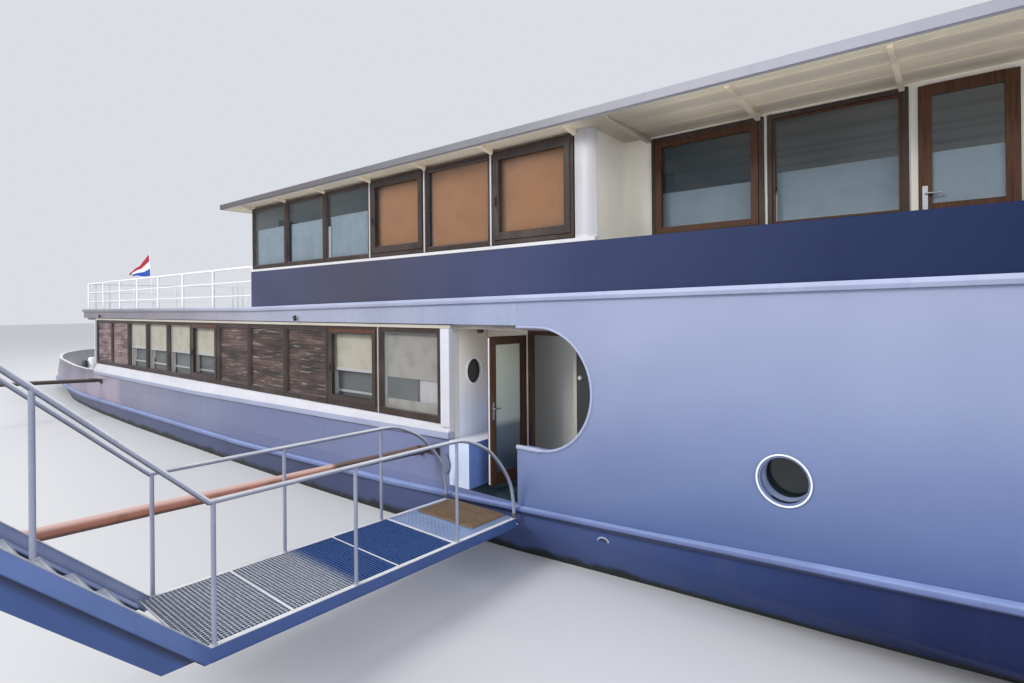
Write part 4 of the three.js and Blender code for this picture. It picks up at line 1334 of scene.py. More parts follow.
@dataclass
class Studio:
    """Camera at the photograph's viewing angle, pale floor and soft lights."""

    eye: Triple = (12.45, -8.2, 3.2)  # Camera's place
    view: Pair = (-0.6288, 0.7776)  # Direction it looks in, level
    lens: float = 19.86  # Focal length in millimetres on a 36 mm sensor
    shift: float = -0.0338  # Upward shift of the frame
    roll: float = -0.5  # Turn about the line of sight in degrees
    sky: RGB = (0.84, 0.87, 0.93)  # Colour of the world's light
    sky_power: float = 0.84  # Its strength
    reach: float = 160.0  # Half of the floor's width

    def camera(self) -> None:
        """Place the camera."""
        data = bpy.data.cameras.new("camera")
        data.lens = self.lens
        data.sensor_width = 36.0
        data.shift_y = self.shift
        data.clip_end = 500.0
        camera = bpy.data.objects.new("camera", data)
        bpy.context.scene.collection.objects.link(camera)
        ahead = Vector((self.view[0], self.view[1], 0.0)).normalized()
        right = ahead.cross(Vector((0.0, 0.0, 1.0)))
        turn = Matrix((right, Vector((0.0, 0.0, 1.0)), -ahead)).transposed()
        roll = Matrix.Rotation(radians(self.roll), 3, "Z")
        camera.matrix_world = Matrix.Translation(self.eye) @ (turn @ roll).to_4x4()
        bpy.context.scene.camera = camera

    def light(self, name: str, place: Triple, aim: Triple, wide: float, power: float, colour: RGB) -> None:
        """Add a soft area light.

        Args:
            name: Its name.
            place: Where it stands.
            aim: The point it shines at.
            wide: Width of its disc.
            power: Power in watts.
            colour: Colour of its light.
        """
        data = bpy.data.lights.new(name, "AREA")
        data.shape = "DISK"
        data.size = wide
        data.energy = power
        data.color = colour
        lamp = bpy.data.objects.new(name, data)
        bpy.context.scene.collection.objects.link(lamp)
        lamp.location = place
        lamp.rotation_euler = (Vector(aim) - Vector(place)).to_track_quat("-Z", "Y").to_euler()

    def build(self) -> None:
        """Place camera, lights, world and floor."""
        self.camera()
        self.light("key", (-4.0, -34.0, 25.0), (3.0, -1.0, 2.0), 16.0, 9800.0, (1.0, 0.98, 0.95))
        self.light("fill", (34.0, -16.0, 12.0), (4.0, 0.0, 2.0), 18.0, 2600.0, (0.94, 0.96, 1.0))
        self.light("back", (-20.0, 30.0, 22.0), (0.0, 0.0, 2.0), 18.0, 4000.0, (0.95, 0.97, 1.0))
        world = bpy.data.worlds.new("studio")
        world.use_nodes = True
        background = world.node_tree.nodes["Background"]
        background.inputs[0].default_value = (*self.sky, 1.0)
        background.inputs[1].default_value = self.sky_power
        bpy.context.scene.world = world
        bpy.context.scene.view_settings.view_transform = "Standard"
        floor = bpy.data.meshes.new("floor")
        corners = [(x * self.reach, y * self.reach, 0) for x, y in ((-1, -1), (1, -1), (1, 1), (-1, 1))]
        floor.from_pydata(corners, [], [(0, 1, 2, 3)])
        recipe = Recipe("floor")
        recipe.finish((0.72, 0.72, 0.73), 0.6)
        floor.materials.append(recipe.material)
        plane = bpy.data.objects.new("floor", floor)
        bpy.context.scene.collection.objects.link(plane)


@dataclass
class HullShell:
    """Hull, strake, bulwarks and the forward plating with its round openings."""

    opening: Pair = (8.4, 2.205)  # X and Z of the middle of the D-shaped opening's round end
    opening_r: float = 0.745  # Its radius
    plate_y: float = -2.7  # Outer face of the plating
    gap: float = 8.067  # X of the gangway opening's fore edge
    moulding: float = 0.018  # Radius of the half-round moulding
    porthole: Pair = (11.14, 1.61)  # X and Z of the porthole's middle
    rim_r: float = 0.231  # Radius of its rim
    pane_r: float = 0.2  # Radius of its pane
    disc: Triple = (6.8, -2.7235, 1.035)  # X, Y and Z of the disc on the side
    drains: tuple[Triple, ...] = ((9.279, 0.59, 0.066), (-4.92, 1.055, 0.055))  # X, Z and half-width of each

    def shells(self) -> None:
        """Stand smooth skins in place of the lofted plates."""
        for node, finish, smooth in (("hull", "hull_lavender", 30.0), ("rubbing_strake", "strake_lavender", 62.0),
                                     ("plating_starboard", "hull_lavender", 25.0),
                                     ("plating_port", "hull_lavender", 25.0), ("bulwark_bow", "hull_lavender", 30.0),
                                     ("bulwark_stern", "stern_white", 30.0)):
            rounded(node, finish, smooth=smooth)

    def d_moulding(self) -> None:
        """Half-round moulding round the D-shaped opening and the thicker one along its sill."""
        (cx, cz), r = self.opening, self.opening_r
        y = self.plate_y - 0.002
        path: list[Point] = [(cx + r * sin(a), y, cz - r * cos(a)) for a in half_turn(36)]
        path += [(self.gap + 0.18, y, cz + r), (self.gap + 0.004, y, cz + r)]
        draft = Draft()
        draft.tube(path, self.moulding, 16)
        sill = self.moulding * 1.6
        draft.tube([(self.gap + 0.004, y, cz - r), (self.gap + 0.15, y, cz - r), (cx, y, cz - r),
                    (cx + 0.06, y, cz - r + 0.003)], [sill, sill, sill, self.moulding], 16)
        draft.piece("opening_moulding", "moulding_lilac")

    def scuppers(self) -> None:
        """Drain holes in the side plating with their welded lips."""
        holes, lips = Draft(), Draft()
        for side in Side:
            for x, z, wide in self.drains:
                y = side.value * (abs(skin("hull", x, z)) + 0.007)
                arc = [(x + wide * cos(a), y, z + wide * 0.62 * sin(a)) for a in half_turn(14)]
                back = [(px, py - side.value * 0.004, pz) for px, py, pz in arc]
                holes.loft([arc, back])
                lips.tube(arc, 0.009, 10)
        holes.piece("scupper_holes", "lamp_black", slot="slate_paint")
        lips.piece("scupper_lips", "moulding_lilac")

    def portholes(self) -> None:
        """Thin white rims, deep lavender tubes and dark panes that stand for painted shade inside."""
        (cx, cz), r = self.porthole, self.pane_r
        for side in Side:
            ring = [(cx + self.rim_r * cos(a), -2.7135, cz + self.rim_r * sin(a)) for a in turns(64)]
            rim = Draft()
            rim.tube(ring, 0.0085, 12, ring=True)
            side.turn(rim).piece(f"porthole_rim_{side.label}", "ring_white",
                                 instead_of=[f"porthole_{side.label}"])
            tube = Draft()
            profile = ((0.236, -2.702), (0.238, -2.712), (0.228, -2.715), (0.222, -2.7), (0.2, -2.52),
                       (0.199, -2.5), (0.214, -2.5), (0.228, -2.69))
            tube.loft([[(cx + wide * cos(a), y, cz + wide * sin(a)) for wide, y in profile] for a in turns(64)],
                      ring=True)
            side.turn(tube).piece(f"porthole_tube_{side.label}", "tube_lavender", smooth=40.0)
            pane = Draft()
            pane.loft([[(cx + r * cos(a), y, cz + r * sin(a)) for a in turns(40)] for y in (-2.515, -2.507)])
            side.turn(pane).piece(f"porthole_glass_{side.label}", "porthole_pane", slot="window_glass")

    def side_fittings(self) -> None:
        """Violet disc and pipe clamp on the side beside the fore boom."""
        x, face, z = self.disc
        disc = Draft()
        disc.loft([[(x + r * cos(a), y, z + r * 1.45 * sin(a)) for a in turns(32)]
                   for y, r in ((face + 0.001, 0.095), (face - 0.006, 0.092), (face - 0.01, 0.055))])
        disc.piece("side_disc", "disc_violet", slot="slate_paint", smooth=40.0)
        clamp = Draft()
        clamp.box(6.05, 6.36, -2.742, face, 1.105, 1.125)
        for x0, x1 in ((6.05, 6.1), (6.31, 6.36)):
            clamp.box(x0, x1, -2.752, face, 1.085, 1.145)
        clamp.tube([(6.2, -2.745, 1.06), (6.2, -2.75, 1.115), (6.2, -2.745, 1.17)], 0.014, 10)
        clamp.piece("side_clamp", "bracket_brown", bevel=0.003, slot="slate_paint")

    def build(self) -> None:
        """Build the hull's pieces."""
        self.shells()
        self.d_moulding()
        self.scuppers()
        self.portholes()
        self.side_fittings()


@dataclass
class Bay:
    """One window bay."""

    x0: float  # Aft edge
    x1: float  # Fore edge
    casement: bool  # Whether it has an opening sash
    hang: Hang  # What hangs behind the glass


@dataclass
class WindowRow:
    """Row of window bays on one side: frames, sashes, glass and what hangs behind it."""

    name: str  # Name of the row
    bays: Sequence[Bay]  # The bays from aft to fore
    z0: float  # Foot of the frames
    z1: float  # Head of the frames
    face: float  # Distance of the frames' outer face from the centreline
    deep: float  # Depth of the frames
    pane: float  # Distance of the glass's outer face from the centreline
    bar: float  # Width of a frame bar
    foot: float  # Width of the bar at the foot
    frame_finish: str = "frame_wood"  # Finish of the frames
    sash_finish: str = "sash_dark"  # Finish of the sashes
    glass_finish: str = "window_pane"  # Finish of the glass
    joint: float = 0.004  # Gap round a frame or a sash
    sash: Pair = (0.084, 0.096)  # Width of a sash's bars, and of its foot

    def frames(self) -> tuple[Draft, Draft]:
        """Outer frames and the sashes of the bays that open.

        Returns:
            The frames, and the sashes.
        """
        outer, sash = Draft(), Draft()
        y = -self.face
        for bay in self.bays:
            gap, inner = self.joint, self.bar + self.joint
            outer.frame(bay.x0 + gap, bay.x1 - gap, self.z0, self.z1, y, y + self.deep, self.bar, self.foot)
            if bay.casement:
                sash.frame(bay.x0 + inner, bay.x1 - inner, self.z0 + self.foot + gap, self.z1 - inner + 0.02,
                           y - 0.012, y + self.deep - gap, *self.sash)
                x, z = bay.x0 + inner + 0.04, (self.z0 + self.z1) / 2
                sash.box(x - 0.009, x + 0.009, y - 0.02, y - 0.01, z - 0.045, z + 0.045)
                sash.box(x - 0.007, x + 0.007, y - 0.034, y - 0.018, z - 0.1, z + 0.01)
        return outer, sash

    def beads(self) -> Draft:
        """Thin grey glazing beads round the fixed panes.

        Returns:
            The beads.
        """
        draft = Draft()
        y = -self.face
        for bay in self.bays:
            if not bay.casement:
                inner = self.bar + 0.003
                draft.frame(bay.x0 + inner, bay.x1 - inner, self.z0 + self.foot + 0.002, self.z1 - inner, y + 0.01,
                            y + self.deep - 0.006, 0.014)
        return draft

    def glass(self) -> Draft:
        """Panes behind the frames.

        Returns:
            The panes.
        """
        draft = Draft()
        for bay in self.bays:
            draft.box(bay.x0 + 0.03, bay.x1 - 0.03, -self.pane, -self.pane + 0.006, self.z0 + 0.03, self.z1 - 0.03)
        return draft

    def hangings(self) -> dict[str, Draft]:
        """Blinds, shutters, curtains, and sheets with painted reflections, behind the glass, by finish.

        Returns:
            A draft for each finish.
        """
        drafts: dict[str, Draft] = {}

        def into(finish: str) -> Draft:
            """The draft that takes what has this finish."""
            return drafts.setdefault(finish, Draft())

        inset, back = 0.07, -self.pane + 0.03
        for bay in self.bays:
            x0, x1 = bay.x0 + inset, bay.x1 - inset
            z0, z1 = self.z0 + 0.05, self.z1 - 0.05
            tall = z1 - z0
            if bay.hang in (Hang.SLATS, Hang.ROSE):
                shelve(into("slat_wood" if bay.hang == Hang.SLATS else "slat_rose"), x0 + 0.03, x1 - 0.03,
                       -self.pane - 0.026, z0 + 0.03, z1 - 0.02, 0.057)
            elif bay.hang == Hang.VENETIAN:
                foot, x = z0 + tall * 0.42, x0 + (x1 - x0) * 0.6
                shelve(into("blind_pale"), x0, x1, back, foot, z1, 0.036)
                into("panel_green").box(x0, x, back + 0.01, back + 0.02, z0 + tall * 0.15, foot)
                into("blind_pale").box(x0, x1, back + 0.004, back + 0.008, z0, z0 + tall * 0.15)
                curtain(into("column_white"), x, x1 - 0.06, back + 0.03, z0 + tall * 0.12, foot, 14)
            elif bay.hang == Hang.ROLLER:
                foot = z0 + tall * 0.47
                into("blind_cream").box(x0, x1, back, back + 0.003, foot, z1)
                into("column_white").box(x0, x1, back - 0.008, back + 0.01, foot - 0.045, foot)
                into("panel_green").box(x0, x1, back + 0.1, back + 0.12, z0 - 0.02, foot)
                into("column_white").box(x0, x1, back + 0.07, back + 0.09, z0 + tall * 0.13, z0 + tall * 0.16)
            # Pale blue and tan sheets: painted reflections of the sky and of brick houses
            elif bay.hang in (Hang.SHEER, Hang.TAN):
                sheer = bay.hang == Hang.SHEER
                head = z0 + tall * 0.66 if sheer else z1
                curtain(into("curtain_sheer" if sheer else "blind_tan"), x0, x1, back, z0, head, 60 if sheer else 8)
        return drafts

    def build(self, side: Side, instead_frames: str, instead_glass: Optional[str]) -> None:
        """Build the row on one side.

        Args:
            side: The boat's side.
            instead_frames: CAD node that the frames stand for.
            instead_glass: CAD node that the glass stands for.
        """
        label, flip = f"{self.name}_{side.label}", side.turn
        outer, sash = self.frames()
        flip(outer).piece(f"frames_{label}", self.frame_finish, bevel=0.004, slot="dark_wood",
                          instead_of=[instead_frames])
        flip(sash).piece(f"sashes_{label}", self.sash_finish, bevel=0.003, slot="dark_wood")
        flip(self.beads()).piece(f"beads_{label}", "bead_wood", bevel=0.002, slot="dark_wood")
        flip(self.glass()).piece(f"panes_{label}", self.glass_finish, slot="window_glass",
                                 instead_of=[instead_glass] if instead_glass else [])
        for finish, draft in self.hangings().items():
            flip(draft).piece(f"{finish}_{label}", finish)


def shelve(draft: Draft, x0: float, x1: float, y: float, z0: float, z1: float, pitch: float) -> None:
    """Append overlapping slats that lean outward at the foot.

    Args:
        draft: The draft that takes them.
        x0: Aft end.
        x1: Fore end.
        y: Their outer edge.
        z0: Foot of the lowest.
        z1: Head of the highest.
        pitch: Height of each.
    """
    count = round((z1 - z0) / pitch)
    step = (z1 - z0) / count
    for i in range(count):
        z = z0 + i * step
        draft.loft([[(x, y, z), (x, y + 0.014, z + step), (x, y + 0.018, z + step), (x, y + 0.004, z)]
                    for x in (x0, x1)])


def curtain(draft: Draft, x0: float, x1: float, y: float, z0: float, z1: float, waves: int) -> None:
    """Append a hanging cloth with upright folds.

    Args:
        draft: The draft that takes it.
        x0: Aft edge.
        x1: Fore edge.
        y: Middle of its folds.
        z0: Foot.
        z1: Head.
        waves: Steps along it, six to a fold.
    """
    n = waves + 1
    rows = [[(x0 + (x1 - x0) * i / waves, y + 0.008 * sin(i * 1.3), z) for i in range(n)] for z in (z0, z1)]
    draft.add(rows[0] + rows[1], [(i, i + 1, n + i + 1, n + i) for i in range(waves)])


@dataclass
class LowerCabin:
    """Sills, window rows, head trims, lamps and end walls of the lower cabin."""

    fore: float = 6.662  # Fore edge of the foremost bay
    bay: float = 1.395  # Width of a bay
    aft: float = -8.683  # Aft edge of the aftmost bay
    z0: float = 1.568  # Foot of the frames
    z1: float = 2.902  # Head of the frames
    # What hangs in each bay from aft to fore
    hangs: tuple[Hang, ...] = (Hang.ROSE, Hang.ROSE, Hang.ROLLER, Hang.ROLLER, Hang.ROLLER, Hang.ROLLER, Hang.SLATS,
                               Hang.SLATS, Hang.SLATS, Hang.ROLLER, Hang.VENETIAN)
    casements: tuple[int, ...] = (5, 9)  # Numbers of the bays that open, counted from 0
    lamp_xs: Pair = (-8.04, 3.0)  # X of the lamps on the fascia

    def bays(self) -> list[Bay]:
        """The bays from aft to fore."""
        edges = [self.aft + self.bay * i for i in range(len(self.hangs) + 1)]
        return [Bay(edges[i], edges[i + 1], i in self.casements, hang) for i, hang in enumerate(self.hangs)]

    def trims(self, side: Side) -> None:
        """Cream strip above the frames, and the thin strip between the two foremost bays.

        Args:
            side: The boat's side.
        """
        flip = side.turn
        head = Draft()
        head.box(self.aft - 0.02, self.fore + 0.21, -2.672, -2.602, 2.9065, 2.956)
        flip(head).piece(f"head_trim_{side.label}", "trim_cream", bevel=0.003)
        strip = Draft()
        x = self.fore - self.bay
        strip.box(x - 0.009, x + 0.009, -2.664, -2.648, self.z0, self.z1)
        flip(strip).piece(f"bay_strip_{side.label}", "trim_cream", bevel=0.002)

    def lamps(self) -> None:
        """Small black lamps on the fascia."""
        draft = Draft()
        for side in Side:
            for x in self.lamp_xs:
                y, s = side.value * 2.747, side.value
                draft.tube([(x, y - s * 0.017, 3.06), (x, y - s * 0.004, 3.06)], 0.024, 18)
                draft.rod((x, y - s * 0.006, 3.06), (x, y + s * 0.006, 3.03), 0.009)
                draft.tube([(x - 0.03, y + s * 0.006, 3.062), (x - 0.012, y + s * 0.006, 3.05),
                            (x + 0.03, y + s * 0.006, 3.0)], [0.014, 0.026, 0.03], 18)
        draft.piece("fascia_lamps", "lamp_black", slot="slate_paint")

    def build(self) -> None:
        """Build the lower cabin."""
        for side in Side:
            row = WindowRow("lower", self.bays(), self.z0, self.z1, 2.652, 0.05, 2.598, 0.062, 0.082)
            row.build(side, f"frames_lower_{side.label}", f"glass_lower_{side.label}")
            self.trims(side)
            paint_node(f"wall_lower_{side.label}", "wall_grey")
            rounded(f"coaming_{side.label}", "sill_white", bevel=0.006)
        self.lamps()
        paint_node("wall_lower_aft", "wall_grey")
        paint_node("wall_lower_fore", "hull_lavender")
        # Dark sheet along the cabin's middle: painted shade for the inside seen through the windows
        room = Draft()
        room.box(-8.6, 6.7, -0.02, 0.02, 0.78, 2.9)
        room.piece("lower_shade_sheet", "room_painted_shade")


@dataclass
class Porch:
    """Porch walls, the open entrance door, side porthole and lamp."""

    hinge: Pair = (7.612, -1.895)  # X and Y of the door's hinge line
    turn: float = 98.0  # How far the door stands from closed, in degrees
    thick: float = 0.06  # Thickness of the leaf
    wide: float = 0.68  # Width of the leaf
    leaf: Pair = (0.83, 2.8)  # Foot and head of the leaf
    grip: Pair = (0.632, 1.85)  # X and Z of the lever's spindle on the leaf

    def door(self) -> None:
        """Leaf with its frosted pane and lever handles."""
        placed = Matrix.Translation((*self.hinge, 0.0)) @ Matrix.Rotation(radians(-self.turn), 4, "Z")

        def put(draft: Draft, name: str, finish: str, **more: object) -> None:
            """Turn a draft into a piece of the leaf, where the leaf stands."""
            draft.points = [placed @ p for p in draft.points]
            draft.piece(name, finish, Body.ENTRANCE, **more)

        foot, head = self.leaf
        leaf = Draft()
        leaf.frame(0.01, self.wide, foot, head, -self.thick, 0.0, 0.095, 0.13)
        leaf.frame(0.105, self.wide - 0.095, foot + 0.13, head - 0.095, -self.thick + 0.012, -0.012, 0.014)
        put(leaf, "entrance_leaf", "door_wood", bevel=0.004, slot="dark_wood", instead_of=["entrance_door"])
        edge = Draft()
        edge.box(self.wide, self.wide + 0.004, -self.thick + 0.018, -0.018, foot + 0.01, head - 0.01)
        put(edge, "entrance_leaf_edge", "column_white")
        pane = Draft()
        pane.box(0.115, self.wide - 0.105, -0.036, -0.024, foot + 0.14, head - 0.105)
        put(pane, "entrance_pane", "frosted_pane", slot="window_glass")
        lever = Draft()
        x, z = self.grip
        for y, out in ((-self.thick, -1.0), (0.0, 1.0)):
            lever.box(x - 0.018, x + 0.018, y, y + out * 0.006, 1.7, 1.93)
            lever.rod((x, y, z), (x, y + out * 0.045, z), 0.009)
            lever.tube([(x, y + out * 0.038, z), (x - 0.052, y + out * 0.04, z),
                        (x - 0.117, y + out * 0.036, z - 0.004)], 0.009)
        put(lever, "entrance_lever", "handle_steel", slot="galvanised_steel")

    def walls(self) -> None:
        """Porch walls, jambs and the room seen through the doorway."""
        paint_node("porch_wall_aft", "porch_cream")
        paint_node("porch_wall_back", "porch_cream")
        rounded("porch_sill_fore", "strake_lavender", bevel=0.006)
        jamb = Draft()
        jamb.box(7.62, 7.69, -1.884, -1.812, 0.8, 2.9)
        jamb.box(7.69, 8.37, -1.884, -1.812, 2.8, 2.9)
        jamb.piece("entrance_jamb", "door_wood", bevel=0.004, slot="dark_wood")
        cream = Draft()
        cream.box(8.375, 8.43, -1.888, -1.812, 0.8, 2.9)
        cream.piece("entrance_jamb_fore", "trim_cream", bevel=0.004)
        strip = Draft()
        strip.box(8.43, 8.66, -1.89, -1.8815, 0.8, 2.9)
        strip.piece("porch_dark_panel", "jamb_dark", slot="slate_paint")
        knob = Draft()
        knob.tube([(8.487, -1.89, 2.261), (8.487, -1.905, 2.261), (8.487, -1.918, 2.261)], [0.03, 0.03, 0.018], 16)
        knob.piece("porch_switch", "column_white")
        # Hall wall seen through the doorway, its finish painted with light and shade
        room = Draft()
        room.box(7.2, 9.2, -1.3, -1.27, 0.79, 2.88)
        room.piece("hall_wall", "hall_painted_light")
        lamp = Draft()
        lamp.post(7.243, -2.457, (2.905, 2.865, 2.845), (0.045, 0.05, 0.03), 18)
        lamp.piece("porch_lamp", "lamp_black", slot="slate_paint")

    def side_port(self) -> None:
        """Oval white ring and dark pane in the aft porch wall."""
        y, z, deep, tall = -2.193, 2.282, 0.15, 0.178
        turn = turns(44)
        ring = Draft()
        ring.tube([(6.876, y + (deep + 0.012) * cos(a), z + (tall + 0.012) * sin(a)) for a in turn],
                  0.018, 12, ring=True)
        ring.piece("side_port_ring", "ring_white")
        # Near-opaque dark pane: painted shade for the inside
        pane = Draft()
        pane.loft([[(x, y + (deep - 0.002) * cos(a), z + (tall - 0.002) * sin(a)) for a in turn]
                   for x in (6.838, 6.846)])
        pane.piece("side_port_pane", "porthole_pane", slot="window_glass")

    def build(self) -> None:
        """Build the porch."""
        self.door()
        self.walls()
        self.side_port()


@dataclass
class UpperCabin:
    """Fascia, band, upper window rows, gallery and its doors."""

    aft: float = 1.33  # Aft edge of the aftmost bay
    bay: float = 1.265  # Width of a bay
    z0: float = 3.992  # Foot of the frames
    z1: float = 5.19  # Head of the frames
    recess_y: float = -1.82  # Outer face of the gallery's inner wall
    # What hangs in each bay from aft to fore
    hangs: tuple[Hang, ...] = (Hang.SHEER, Hang.SHEER, Hang.SHEER, Hang.TAN, Hang.TAN, Hang.TAN)
    casements: tuple[int, ...] = (3, 5)  # Numbers of the bays that open, counted from 0
    # Edges of each of the gallery's windows, and whether it opens
    windows: tuple[tuple[float, float, bool], ...] = ((9.49, 10.765, True), (10.8, 12.03, False),
                                                      (13.02, 14.18, False))
    door: Pair = (12.1, 12.8)  # Edges of the gallery's door leaf

    def bays(self) -> list[Bay]:
        """The bays from aft to fore."""
        return [Bay(self.aft + i * self.bay, self.aft + (i + 1) * self.bay, i in self.casements, hang)
                for i, hang in enumerate(self.hangs)]

    def mullions(self, side: Side) -> None:
        """White strips between the foremost bays.

        Args:
            side: The boat's side.
        """
        draft = Draft()
        for i in (3, 4, 5):
            x = self.aft + i * self.bay
            draft.box(x - 0.01, x + 0.01, -2.694, -2.66, self.z0, self.z1)
        side.turn(draft).piece(f"mullions_{side.label}", "cap_white")

    def gallery(self, side: Side) -> None:
        """Frames and panes of the gallery's windows, and its door.

        Args:
            side: The boat's side.
        """
        y = self.recess_y
        outer, sash, panes = Draft(), Draft(), Draft()
        for x0, x1, opens in self.windows:
            outer.frame(x0, x1, 4.0, 5.2, y - 0.03, y + 0.02, 0.05)
            proud, bar = (0.04, 0.075) if opens else (0.02, 0.022)
            sash.frame(x0 + 0.053, x1 - 0.053, 4.053, 5.147, y - proud, y + 0.01, bar)
            panes.box(x0 + 0.06, x1 - 0.06, y + 0.02, y + 0.027, 4.06, 5.14)
        flip = side.turn
        flip(outer).piece(f"gallery_frames_{side.label}", "frame_wood", bevel=0.004, slot="dark_wood")
        flip(sash).piece(f"gallery_sashes_{side.label}", "sash_wood", bevel=0.004, slot="dark_wood")
        flip(panes).piece(f"gallery_panes_{side.label}", "upper_pane", slot="window_glass",
                          instead_of=[f"glass_recess_{side.label}"])
        body = Body.GALLERY_STARBOARD if side == Side.STARBOARD else Body.GALLERY_PORT
        leaf, pane, lever = Draft(), Draft(), Draft()
        (x0, x1), out = self.door, y - 0.008
        leaf.frame(x0, x1, 3.185, 5.17, out - 0.04, out, 0.1, 0.16)
        leaf.box(x0 + 0.1, x1 - 0.1, out - 0.038, out - 0.002, 4.02, 4.1)
        leaf.box(x0 + 0.1, x1 - 0.1, out - 0.03, out - 0.01, 3.34, 4.02)
        pane.box(x0 + 0.095, x1 - 0.095, out - 0.026, out - 0.018, 4.1, 5.075)
        lever.box(x0 + 0.03, x0 + 0.07, out - 0.046, out - 0.04, 4.0, 4.26)
        lever.rod((x0 + 0.05, out - 0.04, 4.19), (x0 + 0.05, out - 0.068, 4.19), 0.009)
        lever.tube([(x0 + 0.05, out - 0.064, 4.19), (x0 + 0.11, out - 0.066, 4.19),
                    (x0 + 0.17, out - 0.062, 4.187)], 0.009)
        flip(leaf).piece(f"gallery_leaf_{side.label}", "sash_wood", body, bevel=0.003, slot="dark_wood",
                         instead_of=[f"gallery_door_{side.label}"])
        flip(pane).piece(f"gallery_door_pane_{side.label}", "upper_pane", body, slot="window_glass")
        flip(lever).piece(f"gallery_lever_{side.label}", "handle_steel", body, slot="galvanised_steel")
        # Pale blue sheets behind the gallery's glass and door pane: painted sky reflection
        sheer = Draft()
        for start, end, foot, head in ((9.56, 10.7, 4.07, 4.55), (10.87, 11.97, 4.07, 4.6)):
            sheer.box(start, end, y + 0.09, y + 0.094, foot, head)
        veil = Draft()
        veil.box(x0 + 0.098, x1 - 0.098, out - 0.014, out - 0.012, 4.1, 4.56)
        flip(veil).piece(f"gallery_door_sheer_{side.label}", "curtain_sheer", body)
        flip(sheer).piece(f"gallery_sheers_{side.label}", "curtain_sheer")

    def build(self) -> None:
        """Build the upper cabin."""
        for side in Side:
            row = WindowRow("upper", self.bays(), self.z0, self.z1, 2.682, 0.05, 2.628, 0.046, 0.06,
                            glass_finish="upper_pane")
            row.build(side, f"wall_upper_{side.label}", f"glass_upper_{side.label}")
            self.mullions(side)
            self.gallery(side)
            paint_node(f"wall_recess_{side.label}", "wall_cream")
            rounded(f"trim_fore_{side.label}", "trim_lilac", bevel=0.003)
            rounded(f"band_cap_{side.label}", "pillar_white", bevel=0.006, smooth=40.0)
        rounded("fascia", "fascia_lilac", bevel=0.003)
        rounded("band", "band_slate", bevel=0.004, smooth=25.0)
        paint_node("wall_upper_aft", "wall_cream")
        paint_node("wall_upper_fore", "wall_cream")
        # Dark sheet along the cabin's middle: painted shade for the inside seen through the windows
        room = Draft()
        room.box(1.4, 9.0, 0.0, 0.04, 3.16, 5.22)
        room.piece("upper_shade_sheet", "room_painted_shade")


@dataclass
class Roof:
    """Roof sheet, gutter, and soffit with its boards."""

    board_ys: Triple = (-2.72, -2.41, -2.1)  # Y of the middle of each board to starboard
    board: float = 0.14  # Width of a board
    run: Pair = (9.3, 15.55)  # X of the boards' ends
    levels: Pair = (5.227, 5.2315)  # Heights of the boards' two faces

    def build(self) -> None:
        """Build the roof's pieces."""
        rounded("roof", "roof_grey", bevel=0.006)
        rounded("gutter", "gutter_grey", bevel=0.008)
        rounded("eaves", "soffit_cream", bevel=0.003)
        boards = Draft()
        for y in self.board_ys:
            for sign in (-1, 1):
                boards.box(*self.run, sign * y - self.board / 2, sign * y + self.board / 2, *self.levels)
        boards.piece("soffit_boards", "soffit_cream", bevel=0.008)
        paint_node("upper_deck", "terrace_boards")


